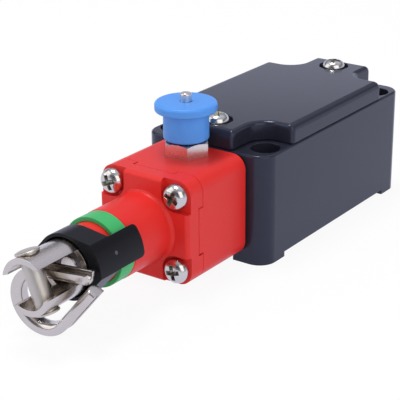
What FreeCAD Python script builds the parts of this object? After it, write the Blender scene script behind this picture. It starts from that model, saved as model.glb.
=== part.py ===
import FreeCAD, Part
import math
import os
import re
import Sketcher

# Rope pull switch, millimetres.
# X runs across the switch, -Y points to the rope and +Z points away from the wall.
# The origin is the middle of the four fixing holes, on the plane of the feet.

dimensions = {
    # Die-cast housing
    "housing_width": 40.0,
    "housing_length": 75.0,
    "rim_height": 31.2,
    "foot_height": 1.3,
    "foot_across": 10.4,
    "foot_along": 10.0,
    "corner_radius": 5.0,
    "rim_edge": 0.4,
    "floor_thickness": 3.0,
    "side_wall": 3.6,
    "end_wall": 15.9,
    "cavity_corner": 3.0,
    "fixing_across": 30.0,
    "fixing_along": 60.0,
    "fixing_hole": 4.5,
    "fixing_recess": 8.0,
    "fixing_seat": 9.0,
    "entry_bore": 18.5,
    "entry_chamfer": 0.8,
    "tunnel_diameter": 16.4,
    # Cover and its gasket
    "cover_height": 5.4,
    "cover_inset": 0.2,
    "cover_edge": 2.0,
    "parting_edge": 0.4,
    "cover_roof": 2.4,
    "notch_radius": 5.8,
    "notch_edge": 1.2,
    "gasket_width": 1.4,
    "gasket_height": 1.2,
    "gasket_margin": 0.6,
    "cover_screw_pitch": 62.0,
    "screw_recess": 8.8,
    "screw_proud": 1.8,
    # Pan head screws of the cover and the head
    "screw_thread": 3.5,
    "screw_head": 6.8,
    "screw_head_height": 3.1,
    "screw_rim": 1.0,
    "screw_shoulder": 5.6,
    "screw_shoulder_height": 2.3,
    "screw_crown": 3.6,
    "screw_clearance": 0.2,
    "cross_width": 1.0,
    "cross_span": 4.0,
    "cross_depth": 1.4,
    "cover_screw_length": 7.8,
    "head_screw_bite": 4.2,
    # Head block
    "axis_height": 17.0,
    "head_width": 28.4,
    "head_edge": 4.0,
    "head_length": 26.0,
    "head_gasket": 0.6,
    "head_gasket_inset": 0.7,
    "head_bore": 20.0,
    "rear_bore": 18.0,
    "plate_thickness": 4.9,
    "pad_length": 1.8,
    "pad_width": 7.6,
    "head_screw_pitch": 20.2,
    "notch_depth": 1.5,
    "notch_round": 4.1,
    "plate_edge": 1.2,
    "seam_width": 0.25,
    "seam_depth": 0.4,
    "boss_diameter": 18.7,
    "boss_length": 14.9,
    "boss_foot": 0.7,
    "nose_reach": 2.6,
    "nose_wall": 7.2,
    "chamber_diameter": 14.0,
    "ring_diameter": 18.5,
    "ring_length": 5.1,
    "ring_wall": 1.2,
    # Pull shaft and what guides it
    "shaft_diameter": 6.0,
    "shaft_thread": 5.0,
    "shaft_tail": 0.4,
    "shaft_chamfer": 0.3,
    "shaft_taper": 1.5,
    "running_clearance": 0.05,
    "pull_travel": 8.5,
    "bush_diameter": 8.4,
    "bush_length": 8.0,
    "seal_diameter": 10.0,
    "seal_length": 1.9,
    "guide_depth": 11.9,
    "guide_thickness": 3.7,
    "clip_thickness": 0.8,
    "clip_diameter": 9.4,
    "clip_groove": 0.6,
    "spring_plate_diameter": 13.2,
    "spring_plate_thickness": 2.5,
    "spring_seat": 0.55,
    "spring_sides": 16.0,
    "wire_sides": 8.0,
    "main_spring_wire": 1.6,
    "main_spring_coil": 11.0,
    "main_spring_turns": 5.0,
    "nut_flats": 8.0,
    "nut_height": 2.4,
    # Indicator cap and eye, turned together about the shaft
    "eye_turn": 21.0,
    "cap_gap": 1.1,
    "cap_length": 6.7,
    "cap_diameter": 17.3,
    "cap_wall": 0.9,
    "cap_web": 1.2,
    "wing_diameter": 22.6,
    "wing_inner": 19.3,
    "wing_angle": 45.2,
    "wing_reach": 10.0,
    "wing_corner": 1.2,
    "pip_setback": 6.8,
    "pip_diameter": 0.8,
    "pip_depth": 0.3,
    "fork_diameter": 14.6,
    "fork_wall": 1.5,
    "fork_length": 19.3,
    "fork_slot_length": 13.6,
    "fork_slot_width": 7.6,
    "rivet_setback": 4.1,
    "rivet_diameter": 4.9,
    "rivet_head": 6.2,
    "rivet_head_height": 0.9,
    "rivet_rim": 0.35,
    "rivet_crown": 3.6,
    # Rope thimble hanging on the lower arm of the eye
    "thimble_hole": 12.4,
    "thimble_point": 15.5,
    "thimble_width": 4.3,
    "thimble_depth": 2.8,
    "thimble_wall": 0.9,
    "thimble_round": 1.2,
    "thimble_gap": 0.7,
    "thimble_aside": -4.95,
    "thimble_drop": -5.8,
    "thimble_setback": 9.3,
    "thimble_swing": 5.0,
    "thimble_lean": 3.0,
    "thimble_roll": 5.8,
    # Reset knob
    "knob_setback": 6.9,
    "bushing_flats": 11.0,
    "bushing_height": 3.9,
    "bushing_round": 10.8,
    "bushing_slope": 30.0,
    "bushing_thread": 8.2,
    "bushing_depth": 5.2,
    "bushing_chamber": 6.4,
    "bushing_roof": 1.5,
    "hex_turn": -51.5,
    "knob_gap": 0.3,
    "knob_neck": 12.1,
    "knob_neck_height": 7.65,
    "knob_disc": 16.5,
    "knob_disc_height": 2.5,
    "knob_edge": 0.7,
    "knob_hollow": 9.0,
    "knob_hollow_depth": 5.0,
    "pin_diameter": 3.1,
    "pin_proud": 2.25,
    "pin_collar": 6.0,
    "pin_collar_height": 1.2,
    "pin_collar_lift": 5.8,
    "pin_edge": 0.3,
    "latch_flat": 1.0,
    "latch_gap": 0.3,
    "reset_spring_wire": 0.7,
    "reset_spring_coil": 4.8,
    "reset_spring_turns": 4.0,
    # Trip lever between the shaft and the contacts
    "lever_setback": 4.0,
    "lever_lift": 11.6,
    "lever_arm": 12.0,
    "lever_thickness": 3.0,
    "lever_boss": 5.2,
    "lever_waist": 4.4,
    "lever_nose": 4.0,
    "lever_neck": 2.8,
    "lever_gap": 0.1,
    "lever_pin": 2.5,
    "ear_gap": 0.3,
    "ear_thickness": 3.0,
    "ear_width": 5.6,
    "ear_height": 2.6,
    # Contact block
    "touch_drop": 4.0,
    "touch_gap": 0.3,
    "plunger_tip": 3.0,
    "plunger_width": 6.0,
    "plunger_height": 5.0,
    "plunger_length": 18.5,
    "block_setback": 6.6,
    "block_length": 24.8,
    "block_width": 26.0,
    "ridge_width": 12.0,
    "ridge_height": 7.4,
    "plunger_spring_room": 5.0,
    "plunger_spring_wire": 0.6,
    "plunger_spring_coil": 3.6,
    "plunger_spring_turns": 4.0,
    "bridge_span": 16.0,
    "bridge_thickness": 0.8,
    "bridge_height": 3.0,
    "front_bridge": 9.2,
    "rear_bridge": 17.2,
    "contact_gap": 0.3,
    "bridge_clearance": 1.1,
    "contact_thickness": 1.0,
    "contact_inset": 6.5,
    "terminal_length": 7.0,
    "terminal_screw_head": 4.8,
    "terminal_screw_reach": 10.6,
    "terminal_screw_length": 7.0,
    "block_screw_thread": 3.0,
    "block_screw_setback": 3.0,
    "earth_across": 11.0,
    "earth_setback": 5.0,
    "earth_boss": 6.0,
    "earth_boss_height": 6.0,
}

doc = FreeCAD.newDocument("rope_pull_switch")
sheet = doc.addObject("Spreadsheet::Sheet", "Sizes")
for row, (name, number) in enumerate(dimensions.items(), start=1):
    sheet.set(f"A{row}", name)
    sheet.set(f"B{row}", str(number))
    sheet.setAlias(f"B{row}", name)
doc.recompute()

nodes = []


# Places along the switch, as formulas of the sheet's sizes

front_face = "(-housing_length / 2)"
cavity_width = "(housing_width - 2 * side_wall)"
cavity_length = "(housing_length - 2 * end_wall)"
cavity_floor = "(foot_height + floor_thickness)"
cover_top = "(rim_height + cover_height)"
head_rear = f"({front_face} - head_gasket)"
head_face = f"({head_rear} - head_length)"
head_seam = f"({head_face} + plate_thickness)"
corner_seam = f"({head_seam} + pad_length)"
screw_seat = f"({head_face} + notch_depth)"
boss_end = f"({head_face} - boss_length)"
ring_end = f"({boss_end} - ring_length)"
nose_end = f"({ring_end} - nose_reach)"
chamber_end = f"({nose_end} + nose_wall)"
seal_seat = f"({nose_end} + seal_length)"
guide_rear = f"({head_rear} - guide_depth)"
guide_face = f"({guide_rear} - guide_thickness)"
plate_rear = f"({guide_face} - clip_thickness)"
plate_face = f"({plate_rear} - spring_plate_thickness)"
cap_rear = f"({nose_end} - cap_gap)"
cap_front = f"({cap_rear} - cap_length)"
wing_tip = f"({cap_rear} + wing_reach)"
fork_rear = f"({cap_rear} - cap_web)"
nut_seat = f"({fork_rear} - fork_wall)"
nut_face = f"({nut_seat} - nut_height)"
shaft_front = f"({nut_face} - shaft_tail)"
fork_front = f"({fork_rear} - fork_length)"
slot_end = f"({fork_front} + fork_slot_length)"
rivet_place = f"({fork_front} + rivet_setback)"
knob_place = f"({head_rear} - knob_setback)"
head_top = "(axis_height + head_width / 2)"
bushing_top = f"({head_top} + bushing_height)"
bushing_end = f"({head_top} - bushing_depth)"
knob_foot = f"({bushing_top} + knob_gap)"
knob_top = f"({knob_foot} + knob_neck_height + knob_disc_height)"
pin_foot = "(axis_height + shaft_diameter / 2 - latch_flat + latch_gap)"
collar_foot = "(axis_height + pin_collar_lift)"
pivot_place = f"({front_face} + end_wall + lever_setback)"
pivot_height = "(axis_height + lever_lift)"
shaft_rear = f"({pivot_place} + pull_travel / 2 - lever_nose / 2 - lever_gap)"
lever_angle = "asin(pull_travel / 2 / lever_arm)"
block_face = f"({pivot_place} + block_setback)"
block_rear = f"({block_face} + block_length)"
plunger_axis = f"({pivot_height} - touch_drop)"
plunger_face = (
    f"({pivot_place} + (lever_waist + plunger_tip) / 2 / cos({lever_angle})"
    f" + touch_drop * tan({lever_angle}) - plunger_tip / 2 + touch_gap)"
)
plunger_travel = f"(2 * touch_drop * tan({lever_angle}))"
plunger_rear = f"({plunger_face} + plunger_length)"
channel_end = f"({plunger_rear} + plunger_spring_room)"
deck = f"({plunger_axis} - bridge_height / 2 - bridge_clearance - contact_thickness)"
earth_place = f"({front_face} + end_wall + earth_setback)"


def cell(formula):
    """Formula text with each size written as a cell of the sheet."""
    return re.sub(r"[a-z_]+", lambda word: "Sizes." + word[0] if word[0] in dimensions else word[0], formula)


def size(name):
    return float(sheet.get(name))


def bind(item, prop, formula):
    item.setExpression(prop, cell(str(formula)))


# Small modelling steps used by all the pieces

def make_body(label, x="0", y="0", z="0"):
    body = doc.addObject("PartDesign::Body", label)
    body.Label = label
    bind(body, "Placement.Base.x", x)
    bind(body, "Placement.Base.y", y)
    bind(body, "Placement.Base.z", z)
    return body


def turn_body(body, axis, angle):
    body.Placement = FreeCAD.Placement(body.Placement.Base, FreeCAD.Rotation(FreeCAD.Vector(*axis), 1.0))
    bind(body, "Placement.Rotation.Angle", angle)


def keep(item):
    nodes.append(item)
    return item


def make_sketch(body, plane, place="0"):
    sketch = body.newObject("Sketcher::SketchObject", f"{body.Label}_sketch")
    origin_plane = [item for item in body.Origin.OriginFeatures if item.Role == f"{plane}_Plane"][0]
    sketch.AttachmentSupport = [(origin_plane, "")]
    sketch.MapMode = "FlatFace"
    normal = -1 if plane == "XZ" else 1
    bind(sketch, "AttachmentOffset.Base.z", f"{normal} * ({place})")
    return sketch


def add_polygon(sketch, corners):
    """Closed outline whose corners are pairs of formulas."""
    first = sketch.GeometryCount
    count = len(corners)
    ring = [FreeCAD.Vector(math.cos(2 * math.pi * k / count), math.sin(2 * math.pi * k / count), 0)
            for k in range(count)]
    for k in range(count):
        sketch.addGeometry(Part.LineSegment(ring[k], ring[(k + 1) % count]))
    for k in range(count):
        sketch.addConstraint(Sketcher.Constraint("Coincident", first + k, 2, first + (k + 1) % count, 1))
    for k, (across, along) in enumerate(corners):
        for kind, formula, start in (("DistanceX", across, ring[k].x), ("DistanceY", along, ring[k].y)):
            index = sketch.addConstraint(Sketcher.Constraint(kind, -1, 1, first + k, 1, start))
            bind(sketch, f"Constraints[{index}]", formula)


def add_rectangle(sketch, left, low, right, high):
    add_polygon(sketch, [(left, low), (right, low), (right, high), (left, high)])


def add_circle(sketch, across, along, diameter):
    index = sketch.addGeometry(Part.Circle(FreeCAD.Vector(1, 1, 0), FreeCAD.Vector(0, 0, 1), 1))
    for kind, formula in (("DistanceX", across), ("DistanceY", along)):
        line = sketch.addConstraint(Sketcher.Constraint(kind, -1, 1, index, 3, 1.0))
        bind(sketch, f"Constraints[{line}]", formula)
    line = sketch.addConstraint(Sketcher.Constraint("Diameter", index, 2.0))
    bind(sketch, f"Constraints[{line}]", diameter)


def four_ways(across, along):
    """The four places that mirror one another about both axes."""
    return [(f"{sx} * ({across})", f"{sy} * ({along})") for sx in (1, -1) for sy in (1, -1)]


def add_pad(body, sketch, length, reverse=False, both_sides=False):
    pad = body.newObject("PartDesign::Pad", f"{body.Label}_pad")
    pad.Profile = sketch
    pad.Reversed = reverse
    pad.Midplane = both_sides
    bind(pad, "Length", length)
    return pad


def add_pocket(body, sketch, length=None, reverse=False, both_sides=False):
    pocket = body.newObject("PartDesign::Pocket", f"{body.Label}_pocket")
    pocket.Profile = sketch
    pocket.Reversed = reverse
    pocket.Midplane = both_sides
    if length is None:
        pocket.Type = "ThroughAll"
    else:
        bind(pocket, "Length", length)
    return pocket


def add_turned(body, sketch, axis, angle=None, cut=False):
    kind = "PartDesign::Groove" if cut else "PartDesign::Revolution"
    turned = body.newObject(kind, f"{body.Label}_turned")
    turned.Profile = sketch
    turned.ReferenceAxis = (sketch, [axis])
    turned.Angle = 360.0
    if angle is not None:
        turned.Midplane = True
        bind(turned, "Angle", angle)
    return turned


def add_mirror(body, feature, plane):
    mirror = body.newObject("PartDesign::Mirrored", f"{body.Label}_mirrored")
    mirror.Originals = [feature]
    origin_plane = [item for item in body.Origin.OriginFeatures if item.Role == f"{plane}_Plane"][0]
    mirror.MirrorPlane = (origin_plane, [""])
    body.Tip = mirror
    return mirror


def dress_edges(body, kind, wanted, formula):
    """Fillet or chamfer on the edges for which wanted(edge) holds."""
    doc.recompute()
    base = body.Tip
    names = [f"Edge{k}" for k, edge in enumerate(base.Shape.Edges, start=1) if wanted(edge)]
    if not names:
        raise RuntimeError(f"no edge to dress on {body.Label}")
    dressed = body.newObject(f"PartDesign::{kind}", f"{body.Label}_{kind.lower()}")
    dressed.Base = (base, names)
    bind(dressed, "Radius" if kind == "Fillet" else "Size", formula)
    return dressed


def near(value, target, tolerance=0.01):
    return abs(value - target) < tolerance


def runs_along(edge, axis):
    """True for a straight edge along one of the three axes."""
    if not isinstance(edge.Curve, (Part.Line, Part.LineSegment)):
        return False
    direction = edge.tangentAt(edge.FirstParameter)
    return near(abs(getattr(direction, axis)), 1.0, 0.001)


def lies_at(edge, axis, value):
    box = edge.BoundBox
    return near(getattr(box, axis + "Min"), value) and near(getattr(box, axis + "Max"), value)


def mirror_copies(label, source, planes):
    """One node of mirrored copies; planes are pairs of a normal and the place of its plane."""
    group = [source]
    for axis, place in planes:
        copies = []
        for item in group:
            mirror = doc.addObject("Part::Mirroring", f"{label}_mirror")
            mirror.Source = item
            mirror.Normal = FreeCAD.Vector(*[1.0 if axis == name else 0.0 for name in "xyz"])
            bind(mirror, f"Base.{axis}", place)
            copies.append(mirror)
        group = group + copies
    node = doc.addObject("Part::Compound", label)
    node.Label = label
    node.Links = group
    return keep(node)


# Housing, cover and their fasteners

def build_housing():
    body = make_body("housing")
    outline = make_sketch(body, "XY")
    add_rectangle(outline, "-housing_width / 2", "-housing_length / 2",
                  "housing_width / 2", "housing_length / 2")
    add_pad(body, outline, "rim_height")
    dress_edges(body, "Fillet", lambda edge: runs_along(edge, "z"), "corner_radius")
    dress_edges(body, "Chamfer", lambda edge: lies_at(edge, "Z", size("rim_height")), "rim_edge")
    # Relief across the back, which leaves a foot at each corner
    for half_x, half_y in (("housing_width / 2 - foot_across", "housing_length / 2"),
                           ("housing_width / 2", "housing_length / 2 - foot_along")):
        relief = make_sketch(body, "XY")
        add_rectangle(relief, f"-({half_x})", f"-({half_y})", half_x, half_y)
        add_pocket(body, relief, "foot_height", reverse=True)
    cavity = make_sketch(body, "XY", "rim_height")
    add_rectangle(cavity, f"-{cavity_width} / 2", f"-{cavity_length} / 2",
                  f"{cavity_width} / 2", f"{cavity_length} / 2")
    add_pocket(body, cavity, f"rim_height - {cavity_floor}")
    inner = (size("housing_width") / 2 - size("side_wall"), size("housing_length") / 2 - size("end_wall"))
    dress_edges(body, "Fillet", lambda edge: runs_along(edge, "z") and near(abs(edge.BoundBox.XMin), inner[0])
                and near(abs(edge.BoundBox.YMin), inner[1]), "cavity_corner")
    fixing = make_sketch(body, "XY", "rim_height")
    recess = make_sketch(body, "XY", "rim_height")
    for across, along in four_ways("fixing_across / 2", "fixing_along / 2"):
        add_circle(fixing, across, along, "fixing_hole")
        add_circle(recess, across, along, "fixing_recess")
    add_pocket(body, fixing)
    add_pocket(body, recess, "rim_height - fixing_seat")
    cover_holes = make_sketch(body, "XY", "rim_height")
    for sign in (1, -1):
        add_circle(cover_holes, "0", f"{sign} * cover_screw_pitch / 2", "screw_thread")
    above_rim = f"({cover_top} + screw_proud - screw_head_height - rim_height)"
    add_pocket(body, cover_holes, f"cover_screw_length - {above_rim}")
    # Front tunnel of the pull shaft and rear conduit entry
    tunnel = make_sketch(body, "XZ", front_face)
    add_circle(tunnel, "0", "axis_height", "tunnel_diameter")
    add_pocket(body, tunnel, "end_wall")
    entry = make_sketch(body, "XZ", "housing_length / 2")
    add_circle(entry, "0", "axis_height", "entry_bore")
    add_pocket(body, entry, "end_wall", reverse=True)
    dress_edges(body, "Chamfer", lambda edge: lies_at(edge, "Y", size("housing_length") / 2)
                and near(edge.BoundBox.ZLength, size("entry_bore")), "entry_chamfer")
    head_holes = make_sketch(body, "XZ", front_face)
    for across, along in four_ways("head_screw_pitch / 2", "head_screw_pitch / 2"):
        add_circle(head_holes, across, f"axis_height + {along}", "screw_thread")
    add_pocket(body, head_holes, "head_screw_bite")
    block_holes = make_sketch(body, "XY", cavity_floor)
    for sign in (1, -1):
        add_circle(block_holes, f"{sign} * terminal_screw_reach", f"{block_rear} - block_screw_setback",
                   "block_screw_thread")
    add_pocket(body, block_holes, "floor_thickness / 2")
    earth = make_sketch(body, "XY", cavity_floor)
    add_circle(earth, "earth_across", earth_place, "earth_boss")
    add_pad(body, earth, "earth_boss_height")
    earth_hole = make_sketch(body, "XY", f"{cavity_floor} + earth_boss_height")
    add_circle(earth_hole, "earth_across", earth_place, "screw_thread")
    add_pocket(body, earth_hole, "earth_boss_height")
    return keep(body)


def build_cover():
    body = make_body("cover", z="rim_height")
    length = "(housing_length - 2 * cover_inset)"
    outline = make_sketch(body, "XY")
    add_rectangle(outline, "-housing_width / 2", f"-{length} / 2", "housing_width / 2", f"{length} / 2")
    add_pad(body, outline, "cover_height")
    top = size("cover_height")
    dress_edges(body, "Fillet", lambda edge: lies_at(edge, "Z", top), "cover_edge")
    # Scalloped corners that leave the fixing holes free
    rounds = make_sketch(body, "XY", "cover_height")
    for across, along in four_ways("fixing_across / 2", "fixing_along / 2"):
        add_circle(rounds, across, along, "2 * notch_radius")
    add_pocket(body, rounds)
    for low_x, low_y in (("(fixing_across / 2 - notch_radius)", "fixing_along / 2"),
                         ("fixing_across / 2", "fixing_along / 2 - notch_radius")):
        corners = make_sketch(body, "XY", "cover_height")
        for sx in (1, -1):
            for sy in (1, -1):
                add_rectangle(corners, f"{sx} * {low_x}", f"{sy} * ({low_y})",
                              f"{sx} * (housing_width / 2 + cover_edge)",
                              f"{sy} * (housing_length / 2 + cover_edge)")
        add_pocket(body, corners)

    def scallop_rim(edge):
        return isinstance(edge.Curve, Part.Circle) and lies_at(edge, "Z", top)

    dress_edges(body, "Fillet", scallop_rim, "notch_edge")
    dress_edges(body, "Chamfer", lambda edge: lies_at(edge, "Z", 0), "parting_edge")
    seat = "(cover_height + screw_proud - screw_head_height)"
    for diameter, depth in (("screw_recess", f"cover_height - {seat}"),
                            ("screw_thread + 2 * screw_clearance", None)):
        holes = make_sketch(body, "XY", "cover_height")
        for sign in (1, -1):
            add_circle(holes, "0", f"{sign} * cover_screw_pitch / 2", diameter)
        add_pocket(body, holes, depth)
    hollow = make_sketch(body, "XY")
    add_rectangle(hollow, f"-{cavity_width} / 2", f"-{cavity_length} / 2",
                  f"{cavity_width} / 2", f"{cavity_length} / 2")
    add_pocket(body, hollow, "cover_height - cover_roof", reverse=True)
    groove = make_sketch(body, "XY")
    gasket_outline(groove)
    add_pocket(body, groove, "gasket_height", reverse=True)
    return keep(body)


def gasket_outline(sketch):
    for grow in ("gasket_margin", "(gasket_margin + gasket_width)"):
        half_x = f"({cavity_width} / 2 + {grow})"
        half_y = f"({cavity_length} / 2 + {grow})"
        add_rectangle(sketch, f"-{half_x}", f"-{half_y}", half_x, half_y)


def build_cover_gasket():
    body = make_body("cover_gasket", z="rim_height")
    outline = make_sketch(body, "XY")
    gasket_outline(outline)
    add_pad(body, outline, "gasket_height")
    return keep(body)


def build_pan_screw(label, x, y, z, head, head_height, thread, length, crossed=True):
    """Screw along its own Z axis, with its head seated at Z = 0."""
    body = make_body(label, x, y, z)
    profile = make_sketch(body, "XZ")
    dome = [(f"{head} / 2", head_height)]
    if crossed:
        dome = [(f"{head} / 2", "screw_rim"), ("screw_shoulder / 2", "screw_shoulder_height"),
                ("screw_crown / 2", head_height)]
    shank = f"({thread}) / 2"
    add_polygon(profile, [("0", f"-({length})"), (shank, f"-({length})"), (shank, "0"),
                          (f"{head} / 2", "0")] + dome + [("0", head_height)])
    add_turned(body, profile, "V_Axis")
    if not crossed:
        return body
    cross = make_sketch(body, "XY", head_height)
    thin = "cross_width / 2"
    wide = "cross_span / 2"
    turns = [(1, 1), (-1, 1), (-1, -1), (1, -1)]
    corners = []
    for k, (sx, sy) in enumerate(turns):
        trio = [(wide, thin), (thin, thin), (thin, wide)]
        trio = trio if k % 2 == 0 else trio[::-1]
        corners += [(f"{sx} * {across}", f"{sy} * {along}") for across, along in trio]
    add_polygon(cross, corners)
    add_pocket(body, cross, "cross_depth")
    return body


def build_cover_screws():
    screw = build_pan_screw("cover_screw", "0", "cover_screw_pitch / 2",
                            f"{cover_top} + screw_proud - screw_head_height",
                            "screw_head", "screw_head_height", "screw_thread", "cover_screw_length")
    return mirror_copies("cover_screws", screw, [("y", "0")])


# Head block on the front of the housing

def build_head_gasket():
    body = make_body("head_gasket", z="axis_height")
    half = "(head_width / 2 - head_gasket_inset)"
    outline = make_sketch(body, "XZ", front_face)
    add_rectangle(outline, f"-{half}", f"-{half}", half, half)
    add_circle(outline, "0", "0", "rear_bore")
    for across, along in four_ways("head_screw_pitch / 2", "head_screw_pitch / 2"):
        add_circle(outline, across, along, "screw_thread + 2 * screw_clearance")
    add_pad(body, outline, "head_gasket")
    corner = size("head_width") / 2 - size("head_gasket_inset")
    dress_edges(body, "Fillet", lambda edge: runs_along(edge, "y") and near(abs(edge.BoundBox.XMin), corner),
                "head_edge - head_gasket_inset")
    return keep(body)


def head_corner_squares(sketch):
    inner = "(head_width / 2 - pad_width - seam_width)"
    outer = "(head_width / 2 + head_edge)"
    for sx in (1, -1):
        for sy in (1, -1):
            add_rectangle(sketch, f"{sx} * {inner}", f"{sy} * {inner}", f"{sx} * {outer}", f"{sy} * {outer}")


def head_screw_holes(body, place, reverse):
    holes = make_sketch(body, "XZ", place)
    for across, along in four_ways("head_screw_pitch / 2", "head_screw_pitch / 2"):
        add_circle(holes, across, along, "screw_thread + 2 * screw_clearance")
    add_pocket(body, holes, None, reverse)


def outer_edge(edge):
    half = size("head_width") / 2
    box = edge.BoundBox
    return runs_along(edge, "y") and near(abs(box.XMin), half) and near(abs(box.ZMin), half)


def build_head_body():
    body = make_body("head_body", z="axis_height")
    half = "head_width / 2"
    outline = make_sketch(body, "XZ", head_rear)
    add_rectangle(outline, f"-{half}", f"-{half}", half, half)
    add_pad(body, outline, "head_length - plate_thickness")
    dress_edges(body, "Fillet", outer_edge, "head_edge")
    steps = make_sketch(body, "XZ", head_seam)
    head_corner_squares(steps)
    add_pocket(body, steps, "pad_length")
    bore = make_sketch(body, "XZ", head_seam)
    add_circle(bore, "0", "0", "head_bore")
    add_pocket(body, bore, f"{guide_rear} - {head_seam}")
    rear = make_sketch(body, "XZ", head_seam)
    add_circle(rear, "0", "0", "rear_bore")
    add_pocket(body, rear)
    head_screw_holes(body, head_seam, False)
    thread = make_sketch(body, "XY", "head_width / 2")
    add_circle(thread, "0", knob_place, "bushing_thread")
    add_pocket(body, thread, "head_width / 2")
    return keep(body)


def build_head_front():
    body = make_body("head_front", z="axis_height")
    half = "head_width / 2"
    outline = make_sketch(body, "XZ", corner_seam)
    add_rectangle(outline, f"-{half}", f"-{half}", half, half)
    add_pad(body, outline, "plate_thickness + pad_length")
    dress_edges(body, "Fillet", outer_edge, "head_edge")
    # The plate is thicker at its corners, where it steps into the head body
    for half_x, half_y in ((f"{half} + head_edge", f"{half} - pad_width"),
                           (f"{half} - pad_width", f"{half} + head_edge")):
        step = make_sketch(body, "XZ", corner_seam)
        add_rectangle(step, f"-({half_x})", f"-({half_y})", half_x, half_y)
        add_pocket(body, step, "pad_length", reverse=True)
    # Open corner notches with a rounded inner wall for the screw heads
    notches = make_sketch(body, "XZ", head_face)
    for across, along in four_ways("head_screw_pitch / 2", "head_screw_pitch / 2"):
        add_circle(notches, across, along, "2 * notch_round")
    add_pocket(body, notches, "notch_depth")
    for low_x, low_y in (("head_screw_pitch / 2", "head_screw_pitch / 2 - notch_round"),
                         ("head_screw_pitch / 2 - notch_round", "head_screw_pitch / 2")):
        openings = make_sketch(body, "XZ", head_face)
        for sx in (1, -1):
            for sy in (1, -1):
                add_rectangle(openings, f"{sx} * ({low_x})", f"{sy} * ({low_y})",
                              f"{sx} * ({half} + head_edge)", f"{sy} * ({half} + head_edge)")
        add_pocket(body, openings, "notch_depth")
    head_screw_holes(body, head_face, False)
    side = size("head_width") / 2
    face = -size("housing_length") / 2 - size("head_gasket") - size("head_length")
    dress_edges(body, "Fillet", lambda edge: lies_at(edge, "Y", face) and any(
        lies_at(edge, axis, sign * side) for axis in "XZ" for sign in (1, -1)), "plate_edge")
    # Open seam all round, where the plate meets the head body
    inner = f"({half} - seam_depth)"
    outer = f"({half} + head_edge)"
    middle = f"({half} - pad_width)"
    seam = make_sketch(body, "XZ", head_seam)
    for sign in (1, -1):
        add_rectangle(seam, f"{sign} * {inner}", f"-{middle}", f"{sign} * {outer}", middle)
        add_rectangle(seam, f"-{middle}", f"{sign} * {inner}", middle, f"{sign} * {outer}")
    add_pocket(body, seam, "seam_width", reverse=True)
    slant = f"({half} - head_edge + head_edge * (sqrt(2) - 1) - seam_depth)"
    corner_gap = make_sketch(body, "XZ", corner_seam)
    add_rectangle(corner_gap, f"-{outer}", f"-{outer}", outer, outer)
    add_polygon(corner_gap, [(inner, f"-{slant}"), (inner, slant), (slant, inner), (f"-{slant}", inner),
                             (f"-{inner}", slant), (f"-{inner}", f"-{slant}"), (f"-{slant}", f"-{inner}"),
                             (slant, f"-{inner}")])
    add_pocket(body, corner_gap, "seam_width", reverse=True)
    # Boss for the spring chamber, with a thinner nose under the tension ring and in front of it
    boss = make_sketch(body, "XZ", head_face)
    add_circle(boss, "0", "0", "boss_diameter")
    add_pad(body, boss, "boss_length")
    dress_edges(body, "Chamfer", lambda edge: lies_at(edge, "Y", face)
                and near(edge.BoundBox.XLength, size("boss_diameter")), "boss_foot")
    nose = make_sketch(body, "XZ", boss_end)
    add_circle(nose, "0", "0", "ring_diameter - 2 * ring_wall - 2 * running_clearance")
    add_pad(body, nose, "ring_length + nose_reach")
    bore = make_sketch(body, "YZ")
    chamber = "chamber_diameter / 2"
    bush = "bush_diameter / 2"
    seal = "seal_diameter / 2"
    rear = f"({corner_seam} + pad_length)"
    add_polygon(bore, [(rear, "0"), (nose_end, "0"), (nose_end, seal), (seal_seat, seal), (seal_seat, bush),
                       (chamber_end, bush), (chamber_end, chamber), (rear, chamber)])
    add_turned(body, bore, "H_Axis", cut=True)
    return keep(body)


def build_head_screws():
    reach = "head_screw_pitch / 2"
    screw = build_pan_screw("head_screw", reach, screw_seat, f"axis_height + {reach}",
                            "screw_head", "screw_head_height", "screw_thread",
                            f"{front_face} + head_screw_bite - {screw_seat}")
    turn_body(screw, (1, 0, 0), "90")
    return mirror_copies("head_screws", screw, [("x", "0"), ("z", "axis_height")])


def turned_piece(label, profile, x="0", y="0", z="axis_height"):
    """Piece turned about the pull axis; the profile gives places along it and radii."""
    body = make_body(label, x, y, z)
    sketch = make_sketch(body, "YZ")
    add_polygon(sketch, profile)
    add_turned(body, sketch, "H_Axis")
    return body


def sleeve(label, rear, front, bore, outside):
    inner = f"({bore}) / 2"
    outer = f"({outside}) / 2"
    return turned_piece(label, [(rear, inner), (front, inner), (front, outer), (rear, outer)])


def build_tension_ring():
    body = sleeve("tension_ring", boss_end, ring_end, "ring_diameter - 2 * ring_wall", "ring_diameter")
    return keep(body)


# Pull shaft, its guides and its spring

def build_pull_shaft():
    radius = "shaft_diameter / 2"
    thread = "shaft_thread / 2"
    groove = "(shaft_diameter / 2 - clip_groove)"
    body = turned_piece("pull_shaft", [
        (shaft_rear, "0"), (shaft_rear, f"{radius} - shaft_taper"), (f"{shaft_rear} - shaft_taper", radius),
        (guide_face, radius), (guide_face, groove), (plate_rear, groove), (plate_rear, radius),
        (cap_rear, radius), (cap_rear, thread), (f"{shaft_front} + shaft_chamfer", thread),
        (shaft_front, f"{thread} - shaft_chamfer"), (shaft_front, "0")])
    # Flat under the reset pin, as long as the shaft's travel
    flat = make_sketch(body, "XY", "shaft_diameter / 2")
    add_rectangle(flat, "-shaft_diameter", f"{knob_place} - pin_diameter", "shaft_diameter",
                  f"{knob_place} + pull_travel + pin_diameter")
    add_pocket(body, flat, "latch_flat")
    return keep(body)


def build_shaft_nut():
    body = make_body("shaft_nut", z="axis_height")
    outline = make_sketch(body, "XZ", nut_seat)
    reach = "nut_flats / sqrt(3)"
    corners = [(f"{reach} * cos({60 * k})", f"{reach} * sin({60 * k})") for k in range(6)]
    add_polygon(outline, corners)
    add_circle(outline, "0", "0", "shaft_thread")
    add_pad(body, outline, "nut_height")
    return keep(body)


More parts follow.
